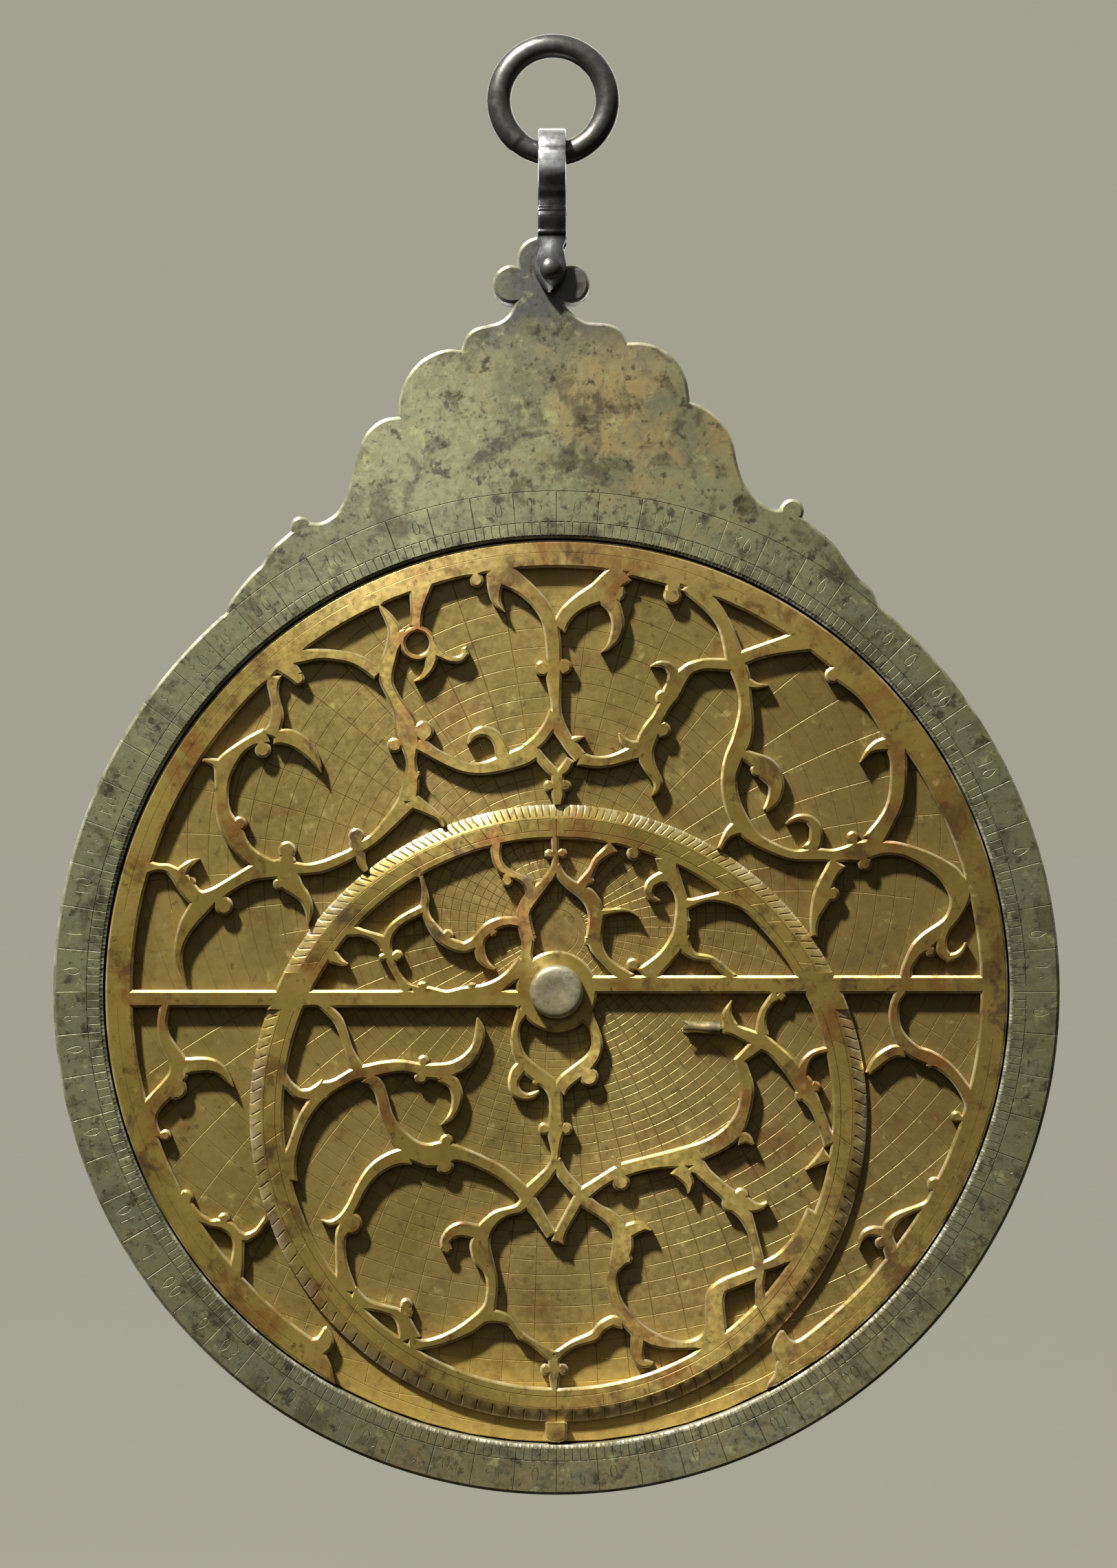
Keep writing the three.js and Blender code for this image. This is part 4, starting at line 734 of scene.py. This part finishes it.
RETE = aged_metal(
    "rete_brass", linear(168, 145, 76),
    [(40, 0.38, 0.62, linear(130, 114, 54), 0.8), (14, 0.5, 0.66, linear(134, 84, 42), 0.75),
     (7, 0.52, 0.66, linear(98, 70, 44), 0.75), (9, 0.57, 0.68, linear(74, 56, 50), 0.7),
     (2.0, 0.58, 0.68, linear(74, 52, 32), 0.65), (3.0, 0.6, 0.72, linear(214, 190, 120), 0.5)],
    (linear(54, 36, 20), 0.85), (linear(240, 228, 190), 0.62), 0.6, (0.32, 0.5), bump=0.32,
    # Darker towards the right, painted shade for the key light's falloff; paler towards the top, a painted
    # highlight on the outer ring.
    tone_and_light_zones=[("X", 20, 95, linear(92, 70, 38), 0.35), ("Z", 60, 84, linear(206, 180, 116), 0.5)],
    brushed=0.72,
)
TYMPAN = aged_metal(
    "tympan_brass", linear(144, 124, 70),
    [(34, 0.4, 0.62, linear(126, 112, 58), 0.8), (12, 0.52, 0.68, linear(114, 82, 42), 0.65),
     (6, 0.54, 0.68, linear(110, 96, 54), 0.65), (2.0, 0.58, 0.68, linear(76, 60, 36), 0.55),
     (3.4, 0.58, 0.72, linear(196, 178, 112), 0.5)],
    (linear(70, 56, 30), 0.3), (linear(214, 196, 140), 0.4), 0.5, (0.34, 0.52), bump=0.32,
    # Darker towards the right, partly tarnish and partly painted shade; bright gold towards the bottom,
    # painted light reflected from the mater's inner wall.
    tone_and_light_zones=[("X", 0, 80, linear(104, 88, 48), 0.5), ("Z", -55, -78, linear(206, 172, 88), 0.7)],
    brushed=0.45,
)
STEEL = aged_metal(
    "dark_iron", linear(98, 98, 95),
    [(20, 0.4, 0.62, linear(80, 80, 78), 0.8), (7, 0.54, 0.7, linear(82, 74, 60), 0.6),
     (3, 0.58, 0.7, linear(46, 44, 42), 0.6), (2, 0.6, 0.72, linear(140, 138, 130), 0.4)],
    (linear(26, 25, 24), 0.9), (linear(206, 206, 202), 0.5), 0.85, (0.3, 0.44),
)
# Its near-black tone is painted shade, laid on the strap's legs, crease and leaf sides by the shackle's
# mask.
STRAP = aged_metal(
    "strap_iron", linear(168, 171, 174),
    [(12, 0.42, 0.62, linear(140, 140, 138), 0.8), (4, 0.54, 0.68, linear(104, 96, 80), 0.6),
     (1.8, 0.58, 0.7, linear(70, 66, 60), 0.6)],
    (linear(20, 19, 18), 1.0), (linear(206, 208, 208), 0.3), 0.8, (0.26, 0.42), matt=0.0,
)
SILVER = aged_metal(
    "pin_steel", linear(152, 147, 122),
    [(7, 0.42, 0.6, linear(134, 124, 92), 0.8), (2.6, 0.54, 0.66, linear(112, 96, 60), 0.7),
     (1.2, 0.58, 0.68, linear(84, 70, 46), 0.6)],
    (linear(60, 52, 40), 0.8), (linear(230, 228, 216), 0.5), 0.55, (0.38, 0.54), bump=0.5,
)
SLEEVE = aged_metal(
    "sleeve_strip", linear(178, 166, 116),
    [(5, 0.42, 0.62, linear(136, 120, 76), 0.8), (2, 0.54, 0.66, linear(92, 80, 62), 0.6)],
    (linear(62, 56, 54), 0.8), (linear(240, 236, 206), 0.9), 0.7, (0.28, 0.44),
)
PLAIN = aged_metal(
    "plain_brass", linear(172, 148, 82),
    [(30, 0.38, 0.62, linear(150, 130, 70), 0.8), (10, 0.52, 0.7, linear(126, 92, 52), 0.7),
     (4, 0.56, 0.7, linear(90, 68, 44), 0.6), (2, 0.6, 0.72, linear(206, 184, 120), 0.4)],
    (linear(62, 46, 28), 0.8), (linear(236, 222, 176), 0.6), 0.6, (0.34, 0.52),
)


# ------------------------------------------------------------------ the disc
def fine(node, y, step=0.7):
    """Smoothed outlines of a CAD plate's face at depth y."""
    return [smooth_loop(loop, step) for loop in face_loops(node, y)]


# the face is engraved on a plate of its own, because the hollow starts behind it
limb = engraved_plate(
    "limb_face", fine("limb_and_throne", LIMB_FRONT), LIMB_FRONT, LIMB_SEAM, LIMB, limb_grooves(), bevel=0.55
)
place(limb, "mater", "mater", "limb_and_throne")
core = engraved_plate("limb_core", fine("limb_and_throne", FLOOR), LIMB_SEAM, FLOOR, LIMB, bevel=0.001)
place(core, "mater", "mater", "limb_and_throne")
back = engraved_plate(
    "mater_back", fine("mater_back_plate", BACK), BACK, FLOOR, LIMB, back_grooves(), bevel=0.35
)
place(back, "mater", "mater", "mater_back_plate")
top_tympan = engraved_plate(
    "tympan_top", face_loops("tympan_1", TYMPAN_FRONT), TYMPAN_FRONT, TYMPAN_BACK, TYMPAN,
    tympan_grooves(), bevel=0.12,
)
place(top_tympan, "mater", "tympan", "tympan_1")
rete = engraved_plate(
    "rete_openwork", fine("rete", RETE_BACK, 0.6), RETE_FRONT, RETE_BACK, RETE,
    rete_grooves(), rete_creases(), rete_drop, 0.45,
)
place(rete, "rete", "rete", "rete")


# ------------------------------------------------------------------ turned and bent pieces
def lathe(name, profile, x, z, steps, material):
    """A body turned about the y axis through (x, z); the profile is (radius, y) from axis to axis."""
    verts, faces = [(x, profile[0][1], z)], []
    rows = profile[1:-1]
    for r, y in rows:
        for i in range(steps):
            a = 2 * math.pi * i / steps
            verts.append((x + r * math.cos(a), y, z + r * math.sin(a)))
    verts.append((x, profile[-1][1], z))
    last = len(verts) - 1
    for i in range(steps):
        j = (i + 1) % steps
        faces.append((0, 1 + i, 1 + j))
        for k in range(len(rows) - 1):
            a, b = 1 + k * steps, 1 + (k + 1) * steps
            faces.append((a + i, b + i, b + j, a + j))
        a = 1 + (len(rows) - 1) * steps
        faces.append((a + i, last, a + j))
    return new_object(name, verts, faces, material, smooth=35)


def dome(radius, top_y, base_y, steps=10):
    """Profile of a low dome from its crown down to its rim."""
    turns = [math.pi / 2 * k / steps for k in range(steps + 1)]
    return [(radius * math.sin(a), base_y + (top_y - base_y) * math.cos(a)) for a in turns]


def cut_box(obj, low, high):
    """Cuts a box, in disc millimetres, out of a piece."""
    lo, hi = (np.array(low) + CENTRE) / 1000, (np.array(high) + CENTRE) / 1000
    mesh = bpy.data.meshes.new("cutter")
    corners = [(x, y, z) for x in (lo[0], hi[0]) for y in (lo[1], hi[1]) for z in (lo[2], hi[2])]
    quads = [(0, 1, 3, 2), (4, 6, 7, 5), (0, 4, 5, 1), (2, 3, 7, 6), (0, 2, 6, 4), (1, 5, 7, 3)]
    mesh.from_pydata(corners, [], quads)
    cutter = bpy.data.objects.new("cutter", mesh)
    scene.collection.objects.link(cutter)
    modifier = obj.modifiers.new("soil_and_shade", "BOOLEAN")
    modifier.operation, modifier.solver, modifier.object = "DIFFERENCE", "EXACT", cutter
    done = bpy.data.meshes.new_from_object(obj.evaluated_get(bpy.context.evaluated_depsgraph_get()))
    obj.modifiers.clear()
    obj.data = done
    bpy.data.objects.remove(cutter)


# a flat head with a rounded rim and a slight hollow in the middle, then the shank
head = [(0, -5.5), (0.7, -5.5), (1.4, -5.56), (2.3, -5.66), (3.2, -5.69), (3.8, -5.66), (4.25, -5.55),
        (4.55, -5.36), (4.76, -5.08), (4.87, -4.7), (4.9, -4.2), (4.9, -3.45), (3.1, -3.45),
        (3.1, 10.3), (2.4, 11.0), (0, 11.0)]
pin = lathe("centre_pin_body", head, 0, 0, 72, SILVER)
cut_box(pin, (-6, SLOT_FRONT, -SLOT_HALF), (6, SLOT_BACK, SLOT_HALF))
place(pin, "mater", "pin", "centre_pin")

rivet = dome(1.95, -7.65, -6.3, 8) + [(1.95, -6.15), (1.2, -6.15), (1.2, 7.05), (0, 7.25)]
place(lathe("shackle_rivet", rivet, RIVET_X, RIVET_Z, 40, STEEL), "shackle", "suspension", "shackle_pin")


def ring_piece():
    """The ring, with the scarf where its ends were joined."""
    verts, faces = [], []
    major, minor = 160, 40
    for i in range(major):
        a = 2 * math.pi * i / major
        degrees = math.degrees(a)
        thinner = SCARF_STEP * float(np.interp(degrees, [229.5, 231.0, 262.0, 284.0], [0, 1, 1, 0]))
        tube = RING_TUBE * (1 - thinner)
        for j in range(minor):
            b = 2 * math.pi * j / minor
            reach = RING_R + tube * math.cos(b)
            verts.append((RING_X + reach * math.cos(a), tube * math.sin(b), RING_Z + reach * math.sin(a)))
    for i in range(major):
        for j in range(minor):
            k, m = (i + 1) % major, (j + 1) % minor
            faces.append((i * minor + j, i * minor + m, k * minor + m, k * minor + j))
    return new_object("hanging_ring", verts, faces, STEEL, smooth=40)


place(ring_piece(), "ring", "suspension", "suspension_ring")


def strap_width(z):
    """Left and right edge of the shackle's strap at height z, and how far a collar stands proud."""
    left = np.interp(z, [126.9, 127.4, 128.4, 129.9, 131.6, 133.4, 135.3, 136.6, 137.2, 138.0],
                     [-1.35, -2.0, -2.9, -3.8, -4.0, -3.6, -3.0, -3.5, -3.4, -3.35])
    right = np.interp(z, [126.9, 127.4, 128.4, 129.9, 131.8, 133.4, 135.3, 136.6, 137.2, 138.0],
                      [-1.25, -0.5, 0.5, 1.4, 1.85, 1.6, 1.2, 1.8, 1.75, 1.75])
    collar = max(math.exp(-(((z - 137.8) / 0.42) ** 4)), math.exp(-(((z - 142.2) / 0.36) ** 4)))
    return left - 0.1 * collar, right + 0.1 * collar, 0.2 * collar


def leg_offset(z):
    """How far the middle of a leg stands from the disc's middle plane at height z."""
    heights = [140.8, 141.6, 142.6, 144.2, 146.4, 148.8, ARCH_Z]
    return ARCH_R - np.interp(z, heights, [0, 0.35, 0.95, 1.35, 1.1, 0.4, 0])


def shackle_piece():
    """The strap, as sections laid along its bend from the front leaf to the back one."""
    stretches = ((126.9, 137.0, 24), (137.15, 138.5, 10), (139, 141, 4),
                 (141.2, 143.2, 14), (143.7, 151.0, 16))
    heights = np.concatenate([np.linspace(*stretch) for stretch in stretches])
    path = [(-leg_offset(z), z, 180.0) for z in heights]
    for a in np.linspace(180, 0, 45):
        path.append((ARCH_R * math.cos(RAD(a)), ARCH_Z + ARCH_R * math.sin(RAD(a)), a))
    path += [(leg_offset(z), z, 0.0) for z in heights[::-1]]
    verts, faces, edge, soil_and_shade = [], [], [], []
    for y, z, a in path:
        left, right, proud = strap_width(min(z, 150.0))
        mid = (left + right) / 2
        crease = 0.25 * math.exp(-(((a - 162) / 3.2) ** 2)) if z > 151 else 0.0
        ridge = 0.6 * math.exp(-(((z - 134.4) / 2.2) ** 2))
        out = np.array([math.cos(RAD(a)), math.sin(RAD(a))])
        soft = min(0.35, (right - left) / 2 * 0.6)
        roll = 0.7 * math.exp(-(((z - 149.0) / 2.1) ** 2)) if a > 162 else 0.0
        face = STRAP_HALF + proud - crease + roll
        section = [(left + soft, -STRAP_HALF), (left, -0.55), (left, 0.55), (left + soft * 0.35, face - 0.1),
                   (left + soft, face), (mid - 0.25, face + ridge), (mid + 0.25, face + ridge),
                   (right - soft, face), (right - soft * 0.35, face - 0.1), (right, 0.55),
                   (right, -0.55), (right - soft, -STRAP_HALF)]
        # Painted shade, laid through the mask: the leaf's sides darker than its middle ridge, the legs dark
        # from the leaf up to the bulge, and the crease darkened.
        flat = float(np.interp(z, [129.0, 132.5, 136.0, 138.0], [0.8, 0.55, 0.35, 0]))
        shade = float(np.interp(z, [135.8, 137.2, 145.4, 148.2], [0, 0.97, 0.97, 0]))
        for j, (x, t) in enumerate(section):
            verts.append((x, y + out[0] * t, z + out[1] * t))
            edge.append(0.4 if j in (3, 8) else 0.0)
            side_shade = 0.0 if j in (5, 6) else flat
            soil_and_shade.append(max(shade, min(0.45, crease / 0.25), side_shade))
    n = len(section)
    for i in range(len(path) - 1):
        for j in range(n):
            k = (j + 1) % n
            faces.append((i * n + j, i * n + k, (i + 1) * n + k, (i + 1) * n + j))
    faces.append(tuple(range(n))[::-1])
    faces.append(tuple(range((len(path) - 1) * n, len(path) * n)))
    return new_object("shackle_strap", verts, faces, STRAP, {"edge": edge, "soil_and_shade": soil_and_shade}, smooth=32)


place(shackle_piece(), "shackle", "suspension", "shackle")


def sleeve_piece():
    """The mended star pointer: a strip rolled round the stub, flared and torn at its free end."""
    low, high = (np.array(v) * 1000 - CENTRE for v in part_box("star_pointer_sleeve"))
    mid_y, mid_z, reach = (low[1] + high[1]) / 2, (low[2] + high[2]) / 2, (high[2] - low[2]) / 2
    turns, stations = 30, 22
    verts, faces, edge, soil_and_shade = [], [], [], []
    for wall in (0.0, 0.26):
        for i in range(stations):
            t = i / (stations - 1)
            for j in range(turns):
                a = RAD(24 + 312 * j / (turns - 1))
                torn = 0.5 * t**6 * (math.sin(3 * a) + 0.6 * math.sin(7 * a + 1))
                radius = reach * (1 - 0.1 * math.sin(math.pi * t**2) ** 2) - wall
                x = high[0] - t * (high[0] - low[0] - 0.8) + torn
                z = mid_z + radius * math.sin(a) + 0.35 * (t - 0.5)
                verts.append((x, mid_y + radius * math.cos(a), z))
                edge.append(1.0 if wall == 0 and i > stations - 3 else 0.0)
                # The strip is darker towards its right end.
                soil_and_shade.append(float(np.interp(t, [0.0, 0.12, 0.3, 0.42], [0.6, 1.0, 0.7, 0.0])))
    skin = stations * turns
    for i in range(stations - 1):
        for j in range(turns - 1):
            a, b = i * turns + j, (i + 1) * turns + j
            faces.append((a, b, b + 1, a + 1))
            faces.append((skin + a + 1, skin + b + 1, skin + b, skin + a))
    for i in range(stations - 1):
        for j, flip in ((0, False), (turns - 1, True)):
            a, b = i * turns + j, (i + 1) * turns + j
            faces.append((a, skin + a, skin + b, b)[:: -1 if flip else 1])
    for j in range(turns - 1):
        for i, flip in ((0, False), (stations - 1, True)):
            a = i * turns + j
            faces.append((a, a + 1, skin + a + 1, skin + a)[:: -1 if flip else 1])
    return new_object("mended_pointer", verts, faces, SLEEVE, {"edge": edge, "soil_and_shade": soil_and_shade}, smooth=35)


place(sleeve_piece(), "rete", "sleeve", "star_pointer_sleeve")


# ------------------------------------------------------------------ carried-over CAD pieces
def finish_node(node, material, bevel_mm):
    """Gives a CAD node its material and soft edges."""
    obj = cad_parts[node]
    obj.data.materials.clear()
    obj.data.materials.append(material)
    weld = obj.modifiers.new("weld", "WELD")
    weld.merge_threshold = 2e-6
    soft = obj.modifiers.new("soft", "BEVEL")
    soft.width, soft.segments = bevel_mm / 1000, 2
    soft.limit_method, soft.angle_limit = "ANGLE", RAD(30)


for node in ("tympan_2", "tympan_3", "tympan_4", "tympan_5"):
    finish_node(node, TYMPAN, 0.08)
for node in ("alidade", "alidade_washer", "horse_wedge"):
    finish_node(node, PLAIN, 0.25)
for node in ("vane_left", "vane_right"):
    finish_node(node, PLAIN, 0.15)
finish_node("shackle_pin_burr", STEEL, 0.12)

# ------------------------------------------------------------------ floor, light, camera
FLOOR_Z = -0.62  # metres
WALL = linear(163, 161, 146)  # tone of the room behind, met by the floor at the horizon

bpy.ops.mesh.primitive_plane_add(size=60, location=(0, 0, FLOOR_Z))
floor = bpy.context.object
floor.name = "floor"
floor.visible_glossy = False
floor.visible_diffuse = False
paper = Shader("floor_paper")
tone = paper.mix(linear(98, 96, 87), linear(92, 90, 81), paper.ramp(paper.noise(600, 3), 0.35, 0.7))
matt = paper.ramp(paper.noise(40, 3), 0.3, 0.7, 0.7, 0.85)
floor.data.materials.append(paper.finish(tone, 0.0, matt, 0.05, 3))
paper.bsdf.inputs["Emission Color"].default_value = WALL
paper.bsdf.inputs["Emission Strength"].default_value = 0.9


def area_light(name, toward, distance, size, power, color):
    """A round light aimed at the disc from a direction in the row frame."""
    aim = Vector((CENTRE[0] / 1000, 0, (20 + CENTRE[2]) / 1000))
    data = bpy.data.lights.new(name, "AREA")
    data.shape, data.size, data.energy, data.color = "DISK", size, power, color
    obj = bpy.data.objects.new(name, data)
    away = Vector(toward).normalized()
    obj.location = aim + away * distance
    obj.rotation_euler = away.to_track_quat("Z", "Y").to_euler()
    obj.visible_camera = False
    scene.collection.objects.link(obj)


area_light("key", (-0.42, -0.385, 0.82), 1.3, 0.1, 58, (1.0, 0.97, 0.91))
area_light("fill", (-0.2, -1.0, 0.5), 1.6, 0.9, 1.2, (0.93, 0.96, 1.0))
area_light("back", (0.1, 1.0, 0.25), 1.6, 2.2, 36, (1.0, 0.97, 0.92))


def studio_world():
    """Bright overhead, dim in front and below, and an even wall tone where the camera looks."""
    world = bpy.data.worlds.new("studio")
    scene.world = world
    world.use_nodes = True
    tree = world.node_tree
    shade = tree.nodes["Background"]
    where = tree.nodes.new("ShaderNodeTexCoord")
    split = tree.nodes.new("ShaderNodeSeparateXYZ")
    tree.links.new(where.outputs["Generated"], split.inputs[0])
    ramp = tree.nodes.new("ShaderNodeValToRGB")
    tree.links.new(split.outputs["Z"], ramp.inputs[0])
    steps = ((0.0, 0.16, 0.14, 0.11), (0.12, 0.24, 0.23, 0.2),
             (0.45, 0.85, 0.85, 0.82), (1.0, 1.3, 1.3, 1.28))
    ramp.color_ramp.elements[0].position = steps[0][0]
    ramp.color_ramp.elements[1].position = steps[-1][0]
    for position, *_ in steps[1:-1]:
        ramp.color_ramp.elements.new(position)
    for element, (_, *color) in zip(ramp.color_ramp.elements, steps):
        element.color = (*color, 1.0)
    tree.links.new(ramp.outputs[0], shade.inputs["Color"])
    shade.inputs["Strength"].default_value = 0.22
    seen = tree.nodes.new("ShaderNodeBackground")
    seen.inputs["Color"].default_value = WALL
    path_node = tree.nodes.new("ShaderNodeLightPath")
    blend = tree.nodes.new("ShaderNodeMixShader")
    tree.links.new(path_node.outputs["Is Camera Ray"], blend.inputs[0])
    tree.links.new(shade.outputs[0], blend.inputs[1])
    tree.links.new(seen.outputs[0], blend.inputs[2])
    tree.links.new(blend.outputs[0], tree.nodes["World Output"].inputs["Surface"])


studio_world()

DISTANCE = 0.85  # metres from the limb's face
FRAME_HALF_HEIGHT = 0.1425
VIEW_MM = (0.375, 37.75)  # what the camera looks at, on the disc
camera_data = bpy.data.cameras.new("camera")
camera = bpy.data.objects.new("camera", camera_data)
scene.collection.objects.link(camera)
camera_data.angle = 2 * math.atan(FRAME_HALF_HEIGHT / DISTANCE)
camera.location = (
    (VIEW_MM[0] + CENTRE[0]) / 1000, -DISTANCE + LIMB_FRONT / 1000, (VIEW_MM[1] + CENTRE[2]) / 1000
)
camera.rotation_euler = (math.pi / 2, 0, 0)
scene.camera = camera
scene.view_settings.view_transform = "Standard"
